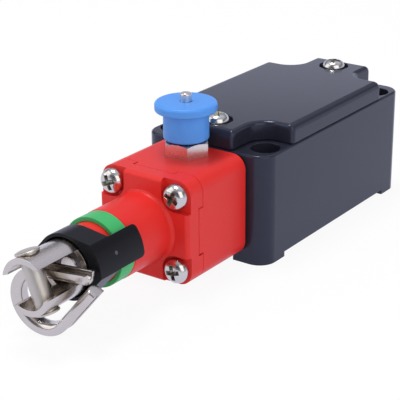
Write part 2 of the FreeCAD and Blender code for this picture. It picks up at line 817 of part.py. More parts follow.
def build_shaft_guides():
    shaft_hole = "shaft_diameter + 2 * running_clearance"
    keep(sleeve("guide_bush", f"{seal_seat} + bush_length", seal_seat, shaft_hole, "bush_diameter"))
    keep(sleeve("shaft_seal", seal_seat, nose_end, shaft_hole, "seal_diameter"))
    keep(sleeve("rear_guide", guide_rear, guide_face, shaft_hole, "head_bore"))
    keep(sleeve("retaining_clip", guide_face, plate_rear,
                "shaft_diameter - 2 * clip_groove", "clip_diameter"))
    keep(sleeve("spring_plate", plate_rear, plate_face, "shaft_diameter", "spring_plate_diameter"))


def build_spring(label, length, wire, coil, turns, place, tip):
    """Coil spring of a given length between its seats, from its first seat along its own Z axis."""
    seat_gap = size("spring_seat") * size(wire)
    rise = length - 2 * seat_gap
    count = round(size(turns) * size("spring_sides"))
    sides = round(size("wire_sides"))
    corners = []
    for k in range(sides + 1):
        angle = 2 * math.pi * (k % sides) / sides
        across = size(coil) / 2 + size(wire) / 2 * math.cos(angle)
        corners.append(FreeCAD.Vector(across, 0, size(wire) / 2 * math.sin(angle)))
    round_wire = Part.makePolygon(corners)
    sections = []
    for k in range(count + 1):
        section = round_wire.copy()
        turn = FreeCAD.Rotation(FreeCAD.Vector(0, 0, 1), 360 * size(turns) * k / count)
        section.Placement = FreeCAD.Placement(FreeCAD.Vector(0, 0, seat_gap + rise * k / count), turn)
        sections.append(section)
    spring = doc.addObject("Part::Feature", label)
    spring.Label = label
    spring.Shape = Part.makeLoft(sections, True, True)
    spring.Placement = FreeCAD.Placement(FreeCAD.Vector(0, 0, 0), tip)
    for name, formula in zip("xyz", place):
        bind(spring, f"Placement.Base.{name}", formula)
    return keep(spring)


def build_main_spring():
    room = size("head_length") - size("guide_depth") - size("guide_thickness") - size("clip_thickness")
    room = room - size("spring_plate_thickness") + size("boss_length") + size("ring_length")
    room = room + size("nose_reach") - size("nose_wall")
    return build_spring("main_spring", room, "main_spring_wire", "main_spring_coil", "main_spring_turns",
                        ("0", plate_face, "axis_height"), FreeCAD.Rotation(FreeCAD.Vector(1, 0, 0), 90))


# Indicator cap, eye and thimble

def build_indicator_cap():
    hole = "(shaft_thread / 2 + running_clearance)"
    outer = "(cap_diameter / 2)"
    inner = "(cap_diameter / 2 - cap_wall)"
    ridge = "(wing_diameter / 2)"
    body = turned_piece("indicator_cap", [(cap_rear, hole), (cap_front, hole), (cap_front, outer),
                                          (cap_rear, outer)])
    turn_body(body, (0, 1, 0), "-eye_turn")
    # Flat flanks from the round body up to the ridges of its two wings
    flank = make_sketch(body, "XZ", cap_rear)
    ends = [(ridge, "(wing_angle / 2)"),
            (outer, "(wing_angle / 2 + acos(cap_diameter / wing_diameter) / 1 deg)")]
    for sign in (1, -1):
        upper = [(f"{sign} * {reach} * cos({turn})", f"{reach} * sin({turn})") for reach, turn in ends]
        lower = [(across, f"-{along}") for across, along in upper]
        add_polygon(flank, upper + lower[::-1])
    add_pad(body, flank, "cap_length")
    # The wings reach back over the tension ring
    wing = make_sketch(body, "XY")
    root = f"({inner} + cap_wall / 2)"
    add_polygon(wing, [(root, cap_front), (ridge, cap_front), (ridge, wing_tip), ("wing_inner / 2", wing_tip),
                       ("wing_inner / 2", cap_rear), (root, cap_rear)])
    turned = add_turned(body, wing, "V_Axis", "wing_angle")
    add_mirror(body, turned, "YZ")
    hollow = make_sketch(body, "XZ", cap_front)
    add_circle(hollow, "0", "0", f"2 * {inner}")
    add_pocket(body, hollow, "cap_length - cap_web")
    boss_front = -size("housing_length") / 2 - size("head_gasket") - size("head_length") - size("boss_length")
    tip_place = boss_front - size("ring_length") - size("nose_reach") - size("cap_gap") + size("wing_reach")

    def tip_corner(edge):
        return isinstance(edge.Curve, (Part.Line, Part.LineSegment)) and lies_at(edge, "Y", tip_place)

    dress_edges(body, "Fillet", tip_corner, "wing_corner")
    pip = make_sketch(body, "YZ", ridge)
    add_circle(pip, f"{cap_front} + pip_setback", "0", "pip_diameter")
    add_mirror(body, add_pocket(body, pip, "pip_depth"), "YZ")
    return keep(body)


def build_eye_fork():
    hole = "(shaft_thread / 2 + running_clearance)"
    outer = "fork_diameter / 2"
    inner = "(fork_diameter / 2 - fork_wall)"
    body = turned_piece("eye_fork", [(fork_rear, hole), (nut_seat, hole), (nut_seat, inner),
                                     (fork_front, inner), (fork_front, outer), (fork_rear, outer)])
    turn_body(body, (0, 1, 0), "-eye_turn")
    slot = make_sketch(body, "YZ")
    half = "fork_slot_width / 2"
    add_rectangle(slot, f"{fork_front} - fork_wall", f"-{half}", slot_end, half)
    add_pocket(body, slot, "2 * fork_diameter", both_sides=True)
    rivet_hole = make_sketch(body, "XY")
    add_circle(rivet_hole, "0", rivet_place, "rivet_diameter")
    add_pocket(body, rivet_hole, "2 * fork_diameter", both_sides=True)
    return keep(body)


def build_eye_rivet():
    body = make_body("eye_rivet", z="axis_height")
    turn_body(body, (0, 1, 0), "-eye_turn")
    shank = "(rivet_diameter / 2)"
    head = "(rivet_head / 2)"
    seat = "(fork_diameter / 2)"
    top = f"({seat} + rivet_head_height)"
    profile = make_sketch(body, "XZ", rivet_place)
    half = [(shank, seat), (head, seat), (head, f"({seat} + rivet_rim)"), ("rivet_crown / 2", top),
            ("0", top)]
    add_polygon(profile, [(radius, f"-{height}") for radius, height in half[::-1]] + half)
    add_turned(body, profile, "V_Axis")
    return keep(body)


def build_rope_thimble():
    body = make_body("rope_thimble")
    spread = "acos(thimble_hole / 2 / thimble_point)"
    leg = "(sqrt(thimble_point ^ 2 - (thimble_hole / 2) ^ 2) - thimble_gap)"

    def channel(sketch, sign):
        low = "thimble_hole / 2"
        half = "thimble_width / 2"
        groove = "(thimble_width / 2 - thimble_wall)"
        high = "(thimble_hole / 2 + thimble_depth)"
        floor = "(thimble_hole / 2 + thimble_wall)"
        corners = [(low, f"-{half}"), (high, f"-{half}"), (high, f"-{groove}"), (floor, f"-{groove}"),
                   (floor, groove), (high, groove), (high, half), (low, half)]
        add_polygon(sketch, [(f"{sign} * {radius}", width) for radius, width in corners])

    bow = make_sketch(body, "XZ")
    channel(bow, -1)
    add_turned(body, bow, "V_Axis", f"360 deg - 2 * {spread}")
    for sign in (1, -1):
        end = make_sketch(body, "XZ")
        turn = FreeCAD.Rotation(FreeCAD.Vector(0, 1, 0), 1)
        end.AttachmentOffset = FreeCAD.Placement(FreeCAD.Vector(0, 0, 0), turn)
        bind(end, "AttachmentOffset.Rotation.Angle", f"{sign} * {spread}")
        channel(end, 1)
        add_pad(body, end, leg, reverse=sign < 0)
    half = size("thimble_width") / 2

    def inner_edge(edge):
        """Edges where the channel's floor turns up into its two sides, on the side of the hole."""
        if not (lies_at(edge, "Z", half) or lies_at(edge, "Z", -half)):
            return False
        middle = edge.valueAt((edge.FirstParameter + edge.LastParameter) / 2)
        if isinstance(edge.Curve, Part.Circle):
            return near(edge.Curve.Radius, size("thimble_hole") / 2)
        direction = edge.tangentAt(edge.FirstParameter)
        reach = abs(middle.x * direction.y - middle.y * direction.x)
        return near(reach, size("thimble_hole") / 2)

    dress_edges(body, "Fillet", inner_edge, "thimble_round")
    lay_thimble(body)
    return keep(body)


def lay_thimble(body):
    """Hangs the thimble behind the rivet, round the lower arm of the eye."""
    stand = FreeCAD.Rotation(FreeCAD.Vector(1, 0, 0), 90 + size("thimble_lean"))
    roll = FreeCAD.Rotation(FreeCAD.Vector(0, 0, 1), size("thimble_roll"))
    swing = FreeCAD.Rotation(FreeCAD.Vector(0, 0, 1), size("thimble_swing"))
    local = FreeCAD.Placement(FreeCAD.Vector(0, 0, 0), swing.multiply(stand).multiply(roll))
    front = -size("housing_length") / 2 - size("head_gasket") - size("head_length") - size("boss_length")
    front = front - size("ring_length") - size("nose_reach") - size("cap_gap") - size("cap_web")
    front = front - size("fork_length")
    place = FreeCAD.Vector(size("thimble_aside"), front + size("thimble_setback"), size("thimble_drop"))
    local.Base = place
    eye = FreeCAD.Placement(FreeCAD.Vector(0, 0, size("axis_height")),
                            FreeCAD.Rotation(FreeCAD.Vector(0, 1, 0), -size("eye_turn")))
    body.setExpression("Placement.Base.x", None)
    body.setExpression("Placement.Base.y", None)
    body.setExpression("Placement.Base.z", None)
    body.Placement = eye.multiply(local)


# Reset knob with its bushing, pin and spring

def build_hex_bushing():
    body = make_body("hex_bushing", y=knob_place)
    hexagon = make_sketch(body, "XY", head_top)
    corners = [(f"bushing_flats / sqrt(3) * cos({60 * k} + hex_turn)",
                f"bushing_flats / sqrt(3) * sin({60 * k} + hex_turn)") for k in range(6)]
    add_polygon(hexagon, corners)
    add_pad(body, hexagon, "bushing_height")
    bevel = make_sketch(body, "XZ")
    fall = "((bushing_flats - bushing_round / 2) * tan(bushing_slope))"
    add_polygon(bevel, [("bushing_round / 2", bushing_top), ("bushing_flats", bushing_top),
                        ("bushing_flats", f"{bushing_top} - {fall}")])
    add_turned(body, bevel, "V_Axis", cut=True)
    thread = make_sketch(body, "XY", head_top)
    add_circle(thread, "0", "0", "bushing_thread")
    add_pad(body, thread, "bushing_depth", reverse=True)
    bore = make_sketch(body, "XZ")
    pin = "(pin_diameter / 2 + running_clearance)"
    room = "(bushing_chamber / 2)"
    roof = f"({bushing_top} - bushing_roof)"
    add_polygon(bore, [("0", bushing_end), (room, bushing_end), (room, roof), (pin, roof), (pin, bushing_top),
                       ("0", bushing_top)])
    add_turned(body, bore, "V_Axis", cut=True)
    return keep(body)


def build_reset_knob():
    body = make_body("reset_knob", y=knob_place)
    neck = "knob_neck / 2"
    disc = "knob_disc / 2"
    shelf = f"({knob_foot} + knob_neck_height)"
    bore = "(pin_diameter / 2)"
    hollow = "(knob_hollow / 2)"
    profile = make_sketch(body, "XZ")
    roof = f"{knob_foot} + knob_hollow_depth"
    foot = [(hollow, knob_foot), (f"{neck} - knob_edge", knob_foot), (neck, f"{knob_foot} + knob_edge")]
    rim = [(neck, shelf), (f"{disc} - knob_edge", shelf), (disc, f"{shelf} + knob_edge"),
           (disc, f"{knob_top} - knob_edge"), (f"{disc} - knob_edge", knob_top)]
    add_polygon(profile, foot + rim + [(bore, knob_top), (bore, roof), (hollow, roof)])
    add_turned(body, profile, "V_Axis")
    return keep(body)


def build_reset_pin():
    body = make_body("reset_pin", y=knob_place)
    pin = "pin_diameter / 2"
    collar = "pin_collar / 2"
    collar_top = f"({collar_foot} + pin_collar_height)"
    top = f"({knob_top} + pin_proud)"
    profile = make_sketch(body, "XZ")
    add_polygon(profile, [("0", pin_foot), (f"{pin} - pin_edge", pin_foot), (pin, f"{pin_foot} + pin_edge"),
                          (pin, collar_foot), (collar, collar_foot), (collar, collar_top), (pin, collar_top),
                          (pin, f"{top} - pin_edge"), (f"{pin} - pin_edge", top), ("0", top)])
    add_turned(body, profile, "V_Axis")
    return keep(body)


def build_reset_spring():
    room = size("head_width") / 2 + size("bushing_height") - size("bushing_roof")
    room = room - size("pin_collar_lift") - size("pin_collar_height")
    return build_spring("reset_spring", room, "reset_spring_wire", "reset_spring_coil", "reset_spring_turns",
                        ("0", knob_place, f"{collar_foot} + pin_collar_height"), FreeCAD.Rotation())


# Trip lever and contact block inside the housing

def build_trip_lever():
    body = make_body("trip_lever", y=pivot_place, z=pivot_height)
    turn_body(body, (1, 0, 0), lever_angle)
    for along, diameter in (("0", "lever_boss"), ("-lever_arm", "lever_nose")):
        round_end = make_sketch(body, "YZ")
        add_circle(round_end, "0", along, diameter)
        if diameter == "lever_boss":
            add_pad(body, round_end, "lever_thickness", both_sides=True)
    arm = make_sketch(body, "YZ")
    add_polygon(arm, [("-lever_waist / 2", "0"), ("-lever_neck / 2", "-lever_arm"),
                      ("lever_neck / 2", "-lever_arm"), ("lever_waist / 2", "0")])
    add_pad(body, arm, "lever_thickness", both_sides=True)
    add_pad(body, round_end, "lever_thickness", both_sides=True)
    hole = make_sketch(body, "YZ")
    add_circle(hole, "0", "0", "lever_pin + 2 * running_clearance")
    add_pocket(body, hole, "2 * lever_thickness", both_sides=True)
    return keep(body)


def build_lever_pin():
    body = make_body("lever_pin", y=pivot_place, z=pivot_height)
    section = make_sketch(body, "YZ")
    add_circle(section, "0", "0", "lever_pin")
    add_pad(body, section, "lever_thickness + 2 * ear_gap + 2 * ear_thickness", both_sides=True)
    return keep(body)


def build_contact_block():
    body = make_body("contact_block")
    half = "block_width / 2"
    ridge = "ridge_width / 2"
    base = make_sketch(body, "XY", cavity_floor)
    add_rectangle(base, f"-{half}", block_face, half, block_rear)
    add_pad(body, base, f"{deck} - {cavity_floor}")
    spine = make_sketch(body, "XY", deck)
    add_rectangle(spine, f"-{ridge}", block_face, ridge, block_rear)
    add_pad(body, spine, "ridge_height")
    # Channel of the plunger, with its windows for the contact bridges
    channel = make_sketch(body, "XZ", block_face)
    wide = "(plunger_width / 2 + running_clearance)"
    tall = "(plunger_height / 2 + running_clearance)"
    add_rectangle(channel, f"-{wide}", f"{plunger_axis} - {tall}", wide, f"{plunger_axis} + {tall}")
    add_pocket(body, channel, f"{channel_end} - {block_face}")
    for place in ("front_bridge", "rear_bridge"):
        window = make_sketch(body, "YZ")
        add_rectangle(window, f"{plunger_face} + {place} - {plunger_travel} - contact_gap",
                      f"{plunger_axis} - bridge_height / 2 - contact_gap",
                      f"{plunger_face} + {place} + bridge_thickness + contact_gap",
                      f"{plunger_axis} + bridge_height / 2 + contact_gap")
        add_pocket(body, window, "2 * ridge_width", both_sides=True)
    # Ears that carry the lever's pin
    for sign in (1, -1):
        ear = make_sketch(body, "YZ", f"{sign} * (lever_thickness / 2 + ear_gap)")
        low = f"({plunger_axis} + {tall} - plunger_height)"
        add_rectangle(ear, f"{pivot_place} - ear_width / 2", low, block_face, f"{pivot_height} + ear_height")
        add_pad(body, ear, "ear_thickness", reverse=sign < 0)
    room = make_sketch(body, "XZ", block_face)
    add_rectangle(room, f"-{wide}", f"{plunger_axis} - {tall}", wide, f"{plunger_axis} + {tall}")
    depth = f"{block_face} - {plunger_face} - plunger_tip / 2 + {plunger_travel} + ear_gap"
    add_pocket(body, room, depth, reverse=True)
    pin_hole = make_sketch(body, "YZ")
    add_circle(pin_hole, pivot_place, pivot_height, "lever_pin")
    add_pocket(body, pin_hole, "2 * block_width", both_sides=True)
    screws = make_sketch(body, "XY", deck)
    for sign in (1, -1):
        reach = f"{sign} * terminal_screw_reach"
        add_circle(screws, reach, f"{block_rear} - block_screw_setback", "block_screw_thread")
        for place in (front_terminal, rear_terminal):
            add_circle(screws, reach, f"{place} + terminal_length / 2", "block_screw_thread")
    add_pocket(body, screws)
    return keep(body)


front_tab = f"({plunger_face} + front_bridge + bridge_thickness + contact_gap)"
rear_tab = f"({plunger_face} + rear_bridge - {plunger_travel} - contact_gap - contact_thickness)"
front_terminal = f"({front_tab} + contact_thickness - terminal_length)"
rear_terminal = rear_tab


def build_contact_plunger():
    body = make_body("contact_plunger", z=plunger_axis)
    half = "plunger_width / 2"
    tall = "plunger_height / 2"
    section = make_sketch(body, "XZ", f"{plunger_face} + plunger_tip / 2")
    add_rectangle(section, f"-{half}", f"-{tall}", half, tall)
    add_pad(body, section, "plunger_length - plunger_tip / 2", reverse=True)
    tip = make_sketch(body, "YZ")
    add_circle(tip, f"{plunger_face} + plunger_tip / 2", "0", "plunger_tip")
    add_pad(body, tip, "lever_thickness", both_sides=True)
    for place in ("front_bridge", "rear_bridge"):
        window = make_sketch(body, "YZ")
        add_rectangle(window, f"{plunger_face} + {place}", "-bridge_height / 2",
                      f"{plunger_face} + {place} + bridge_thickness", "bridge_height / 2")
        add_pocket(body, window, "2 * plunger_width", both_sides=True)
    return keep(body)


def build_contact_bridges():
    strips = []
    for place in ("front_bridge", "rear_bridge"):
        strip = doc.addObject("Part::Box", f"{place}_strip")
        bind(strip, "Length", "bridge_span")
        bind(strip, "Width", "bridge_thickness")
        bind(strip, "Height", "bridge_height")
        bind(strip, "Placement.Base.x", "-bridge_span / 2")
        bind(strip, "Placement.Base.y", f"{plunger_face} + {place}")
        bind(strip, "Placement.Base.z", f"{plunger_axis} - bridge_height / 2")
        strips.append(strip)
    node = doc.addObject("Part::Compound", "contact_bridges")
    node.Label = "contact_bridges"
    node.Links = strips
    return keep(node)


def build_plunger_spring():
    return build_spring("plunger_spring", size("plunger_spring_room"), "plunger_spring_wire",
                        "plunger_spring_coil", "plunger_spring_turns", ("0", plunger_rear, plunger_axis),
                        FreeCAD.Rotation(FreeCAD.Vector(1, 0, 0), -90))


def build_fixed_contacts():
    sides = []
    for name, tab, plate in (("front", front_tab, front_terminal), ("rear", rear_tab, rear_terminal)):
        body = make_body(f"{name}_contact")
        terminal = make_sketch(body, "XY", deck)
        add_rectangle(terminal, "contact_inset", plate, "block_width / 2", f"{plate} + terminal_length")
        add_circle(terminal, "terminal_screw_reach", f"{plate} + terminal_length / 2", "block_screw_thread")
        add_pad(body, terminal, "contact_thickness")
        upright = make_sketch(body, "XZ", tab)
        add_rectangle(upright, "contact_inset", deck, "bridge_span / 2",
                      f"{plunger_axis} + bridge_height / 2")
        add_pad(body, upright, "contact_thickness", reverse=True)
        sides.append(body)
    pair = doc.addObject("Part::Compound", "one_side_contacts")
    pair.Links = sides
    return mirror_copies("fixed_contacts", pair, [("x", "0")])


def build_inner_screws():
    screws = []
    for name, place in (("front", front_terminal), ("rear", rear_terminal)):
        screw = build_pan_screw(f"{name}_terminal_screw", "terminal_screw_reach",
                                f"{place} + terminal_length / 2", f"{deck} + contact_thickness",
                                "terminal_screw_head", "screw_head_height", "block_screw_thread",
                                "terminal_screw_length", crossed=False)
        screws.append(screw)
    pair = doc.addObject("Part::Compound", "one_side_screws")
    pair.Links = screws
    mirror_copies("terminal_screws", pair, [("x", "0")])
    holder = build_pan_screw("block_screw", "terminal_screw_reach", f"{block_rear} - block_screw_setback",
                             deck, "terminal_screw_head", "screw_head_height", "block_screw_thread",
                             f"{deck} - {cavity_floor} + floor_thickness / 2", crossed=False)
    mirror_copies("block_screws", holder, [("x", "0")])
    earth = build_pan_screw("earth_screw", "earth_across", earth_place,
                            f"{cavity_floor} + earth_boss_height", "earth_boss", "screw_head_height",
                            "screw_thread", "earth_boss_height", crossed=False)
    keep(earth)


for build in (build_housing, build_cover, build_cover_gasket, build_cover_screws, build_head_gasket,
              build_head_body, build_head_front, build_head_screws, build_tension_ring, build_pull_shaft,
              build_shaft_nut,
              build_shaft_guides, build_main_spring, build_indicator_cap, build_eye_fork, build_eye_rivet,
              build_rope_thimble, build_hex_bushing, build_reset_knob, build_reset_pin, build_reset_spring,
              build_trip_lever, build_lever_pin, build_contact_block, build_contact_plunger,
              build_contact_bridges, build_plunger_spring, build_fixed_contacts, build_inner_screws):
    build()
doc.recompute()

# Every object is sound before anything is written

for item in doc.Objects:
    if "Invalid" in item.State or "Error" in item.State:
        raise RuntimeError(f"{item.Label} failed: {item.State}")
for item in nodes:
    if item.Shape.isNull() or not item.Shape.isValid() or not item.Shape.Solids:
        raise RuntimeError(f"{item.Label} has no sound solid")

os.makedirs("parts", exist_ok=True)
for item in nodes:
    item.Shape.exportStep(f"parts/{item.Label}.step")
print(f"{len(nodes)} nodes, {sum(len(item.Shape.Solids) for item in nodes)} solids")
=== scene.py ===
import math
import bmesh
import bpy
from mathutils import Matrix, Vector


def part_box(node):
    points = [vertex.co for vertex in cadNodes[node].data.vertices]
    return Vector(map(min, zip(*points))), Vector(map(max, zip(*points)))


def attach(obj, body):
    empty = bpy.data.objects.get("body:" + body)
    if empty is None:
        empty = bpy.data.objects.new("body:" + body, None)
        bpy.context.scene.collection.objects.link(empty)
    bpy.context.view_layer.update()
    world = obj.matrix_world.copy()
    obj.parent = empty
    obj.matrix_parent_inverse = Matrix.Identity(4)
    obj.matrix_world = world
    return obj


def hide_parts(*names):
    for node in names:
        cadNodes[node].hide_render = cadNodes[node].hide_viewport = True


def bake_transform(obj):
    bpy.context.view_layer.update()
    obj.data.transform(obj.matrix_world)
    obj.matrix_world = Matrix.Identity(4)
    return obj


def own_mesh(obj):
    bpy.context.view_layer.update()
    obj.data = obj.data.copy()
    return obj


# Rope pull switch, dressed around its CAD pieces. Sizes are in mm unless a note says otherwise.

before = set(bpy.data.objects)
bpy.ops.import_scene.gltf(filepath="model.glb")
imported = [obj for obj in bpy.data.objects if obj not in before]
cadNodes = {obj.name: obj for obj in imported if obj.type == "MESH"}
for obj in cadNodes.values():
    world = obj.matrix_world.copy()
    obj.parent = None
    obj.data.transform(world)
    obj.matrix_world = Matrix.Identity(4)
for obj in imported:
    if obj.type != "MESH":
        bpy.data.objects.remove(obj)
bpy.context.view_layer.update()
mm = 0.001                 # m
print("frame loaded:", len(cadNodes), "nodes")


# axis of the pull shaft, which the cable entry shares and the eye is turned about
shaft = {
    "height": 17.0,        # mm
    "eyeTurn": 21.0,       # degrees
}


# a place on that axis, turned as the eye is
def eyePlace(along):
    turn = Matrix.Rotation(-math.radians(shaft["eyeTurn"]), 4, "Y")
    return Matrix.Translation((0, along, shaft["height"])) @ turn


# camera at the photograph's viewing angle
camera = {
    "azimuth": 35.91,      # degrees, 0 looks along +Y
    "elevation": 22.12,
    "roll": -0.53,
    "target": (-28.35, 0.0, -3.81),   # mm
    "distance": 409.12,    # mm
    "lens": 118.59,        # mm
    "sensor": 36,          # mm
    "nearest": 0.01,       # m
    "farthest": 50,        # m
}


def placeCamera():
    az = math.radians(camera["azimuth"])
    el = math.radians(camera["elevation"])
    back = Vector((math.sin(az) * math.cos(el), -math.cos(az) * math.cos(el), math.sin(el)))
    data = bpy.data.cameras.new("view")
    data.lens = camera["lens"]
    data.sensor_width = camera["sensor"]
    data.clip_start = camera["nearest"]
    data.clip_end = camera["farthest"]
    view = bpy.data.objects.new("view", data)
    bpy.context.scene.collection.objects.link(view)
    turn = (-back).to_track_quat("-Z", "Y").to_matrix().to_4x4()
    roll = Matrix.Rotation(math.radians(camera["roll"]), 4, "Z")
    spot = (Vector(camera["target"]) + back * camera["distance"]) * mm
    view.matrix_world = Matrix.Translation(spot) @ turn @ roll
    bpy.context.scene.camera = view


placeCamera()
print("camera placed")


# sockets of a mix node, for colours and for plain numbers
colourMix = {"factor": 0, "first": 6, "second": 7, "result": 2}
numberMix = {"factor": 0, "first": 2, "second": 3, "result": 0}

# noise mostly stays between these two values
noiseSpan = (0.3, 0.7)


# small helpers for node materials
def addNode(tree, kind, **settings):
    node = tree.nodes.new(kind)
    for name, value in settings.items():
        setattr(node, name, value)
    return node


def startFinish(name):
    mat = bpy.data.materials.new(name)
    mat.use_nodes = True
    tree = mat.node_tree
    return mat, tree, tree.nodes["Principled BSDF"]


def spread(tree, source, low, high):
    ramp = addNode(tree, "ShaderNodeMapRange")
    ramp.inputs["From Min"].default_value, ramp.inputs["From Max"].default_value = noiseSpan
    ramp.inputs["To Min"].default_value = low
    ramp.inputs["To Max"].default_value = high
    tree.links.new(source, ramp.inputs["Value"])
    return ramp.outputs["Result"]


def grain(tree, scale, detail=3.0, stretch=(1, 1, 1)):
    place = addNode(tree, "ShaderNodeTexCoord")
    mapping = addNode(tree, "ShaderNodeMapping")
    mapping.inputs["Scale"].default_value = stretch
    noise = addNode(tree, "ShaderNodeTexNoise")
    noise.inputs["Scale"].default_value = scale
    noise.inputs["Detail"].default_value = detail
    tree.links.new(place.outputs["Object"], mapping.inputs["Vector"])
    tree.links.new(mapping.outputs["Vector"], noise.inputs["Vector"])
    return noise.outputs["Fac"]


def tint(tree, shader, source, dark, light):
    mix = addNode(tree, "ShaderNodeMix", data_type="RGBA")
    mix.inputs[colourMix["first"]].default_value = (*dark, 1)
    mix.inputs[colourMix["second"]].default_value = (*light, 1)
    tree.links.new(source, mix.inputs[colourMix["factor"]])
    tree.links.new(mix.outputs[colourMix["result"]], shader.inputs["Base Color"])


def relief(tree, shader, source, strength, depth):
    bump = addNode(tree, "ShaderNodeBump")
    bump.inputs["Strength"].default_value = strength
    bump.inputs["Distance"].default_value = depth
    tree.links.new(source, bump.inputs["Height"])
    tree.links.new(bump.outputs["Normal"], shader.inputs["Normal"])


def shade(colour, factor):
    return tuple(min(1.0, c * factor) for c in colour)


# enamel, plastic and rubber
coat = {
    "cloud": 70,           # scale of the slow change in tone
    "roughSpan": (0.88, 1.12),
    "peelDetail": 2.0,
    "peelDepth": 0.0002,   # m
}


def coated(name, colour, rough, vary=0.08, peel=1800, peelStrength=0.05, gloss=0.5, sheen=(1, 1, 1)):
    mat, tree, shader = startFinish(name)
    shader.inputs["Specular IOR Level"].default_value = gloss
    shader.inputs["Specular Tint"].default_value = (*sheen, 1)
    tint(tree, shader, grain(tree, coat["cloud"]), shade(colour, 1 - vary), shade(colour, 1 + vary))
    fine = grain(tree, peel, coat["peelDetail"])
    low, high = coat["roughSpan"]
    tree.links.new(spread(tree, fine, rough * low, rough * high), shader.inputs["Roughness"])
    relief(tree, shader, fine, peelStrength, coat["peelDepth"])
    return mat


# bare and plated metal
plate = {
    "cloud": 160,
    "toneSpan": (0.9, 1.06),
    "roughSpan": (0.75, 1.3),
    "lineDetail": 4.0,
    "lineDepth": 0.0001,   # m
}


def plated(name, colour, rough, stretch=(1, 1, 1), lines=900, depth=0.08):
    mat, tree, shader = startFinish(name)
    shader.inputs["Metallic"].default_value = 1.0
    brushed = grain(tree, lines, plate["lineDetail"], stretch)
    dark, light = plate["toneSpan"]
    tint(tree, shader, grain(tree, plate["cloud"]), shade(colour, dark), shade(colour, light))
    low, high = plate["roughSpan"]
    tree.links.new(spread(tree, brushed, rough * low, rough * high), shader.inputs["Roughness"])
    relief(tree, shader, brushed, depth, plate["lineDepth"])
    return mat


finish = {
    "blackEnamel": coated("black_enamel", (0.0215, 0.0225, 0.036), 0.17, vary=0.06, peel=1400,
                          peelStrength=0.02, gloss=0.42, sheen=(0.72, 0.78, 1.0)),
    "redEnamel": coated("red_enamel", (0.70, 0.025, 0.021), 0.38, vary=0.04, gloss=0.26),
    "greenPlastic": coated("green_plastic", (0.045, 0.42, 0.125), 0.4, vary=0.04, gloss=0.36),
    "bluePlastic": coated("blue_plastic", (0.08, 0.285, 0.77), 0.42, vary=0.04, gloss=0.3),
    "blackPlastic": coated("black_plastic", (0.007, 0.007, 0.009), 0.32, vary=0.1, gloss=0.19),
    "palePlastic": coated("pale_plastic", (0.12, 0.12, 0.125), 0.5, vary=0.04),
    "whitePlastic": coated("white_plastic", (0.7, 0.7, 0.66), 0.45, vary=0.04),
    "redPlastic": coated("red_plastic", (0.55, 0.05, 0.04), 0.42, vary=0.05),
    "rubber": coated("rubber", (0.018, 0.018, 0.019), 0.7, vary=0.15, peel=2400,
                     peelStrength=0.1, gloss=0.3),
    "sheetSteel": plated("sheet_steel", (0.68, 0.62, 0.56), 0.22, stretch=(1, 1, 12),
                         lines=1500, depth=0.04),
    "satinSteel": plated("satin_steel", (0.62, 0.57, 0.50), 0.42, stretch=(1, 1, 6),
                         lines=1500, depth=0.05),
    "turnedSteel": plated("turned_steel", (0.80, 0.74, 0.68), 0.26, stretch=(1, 1, 14),
                          lines=1500, depth=0.04),
    "brightSteel": plated("bright_steel", (0.70, 0.67, 0.62), 0.2, lines=1800, depth=0.02),
    # painted shade: darker steel for the screws' cross recesses
    "recessShadeSteel": plated("recess_shade_steel", (0.36, 0.35, 0.29), 0.3),
    # painted shade: near-black steel for the nut deep in the eye's cup
    "cupShadeSteel": plated("cup_shade_steel", (0.13, 0.12, 0.115), 0.36),
    "springSteel": plated("spring_steel", (0.5, 0.5, 0.5), 0.3),
    "bronze": plated("bronze", (0.6, 0.38, 0.18), 0.35),
    "brass": plated("brass", (0.78, 0.58, 0.25), 0.28),
}
print("finishes mixed:", len(finish))


# how CAD meshes are cleaned and rounded
rounding = {
    "weld": 2e-6,          # m, corners closer than this are one
    "flat": 0.6,           # degrees, faces as even as this are one
    "sharp": 35,           # degrees, edges above this are rounded
    "segments": 3,
    "profile": 0.6,
    "seam": 1e-7,          # m, the weld for meshes that are made here
}


# joins a made mesh to the frame
def makePiece(name, mesh, node, body, slotName, finishName, sharp):
    normals = mesh.attributes.get("custom_normal")
    if normals:
        mesh.attributes.remove(normals)
    mesh.shade_smooth()
    mesh.set_sharp_from_angle(angle=math.radians(sharp))
    mesh.materials.clear()
    mesh.materials.append(finish[finishName])
    piece = bpy.data.objects.new(name, mesh)
    bpy.context.scene.collection.objects.link(piece)
    even = piece.modifiers.new("even_normals", "WEIGHTED_NORMAL")
    even.keep_sharp = True
    if body:
        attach(piece, body)
    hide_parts(node)
    return piece


def inBox(spot, box):
    return bool(box) and all(low <= value <= high for value, low, high in zip(spot, *box))


# a rounded copy of a CAD node that stands for it; edges inside the box `bare` stay sharp
def softenNode(node, name, body, slotName, finishName, width, bare, carve):
    mesh = cadNodes[node].data.copy()
    mesh.name = name
    work = bmesh.new()
    work.from_mesh(mesh)
    bmesh.ops.remove_doubles(work, verts=work.verts, dist=rounding["weld"])
    flat = math.radians(rounding["flat"])
    bmesh.ops.dissolve_limit(work, angle_limit=flat, verts=work.verts, edges=work.edges)
    limit = math.radians(rounding["sharp"])
    rims = [e for e in work.edges if len(e.link_faces) == 2 and e.calc_face_angle(0) > limit
            and not inBox((e.verts[0].co + e.verts[1].co) / 2 / mm, bare)]
    bmesh.ops.bevel(work, geom=rims, offset=width * mm, offset_type="OFFSET", affect="EDGES",
                    segments=rounding["segments"], profile=rounding["profile"], clamp_overlap=False)
    if carve:
        carve(work)
    bmesh.ops.recalc_face_normals(work, faces=work.faces)
    work.to_mesh(mesh)
    work.free()
    return makePiece(name, mesh, node, body, slotName, finishName, rounding["sharp"])


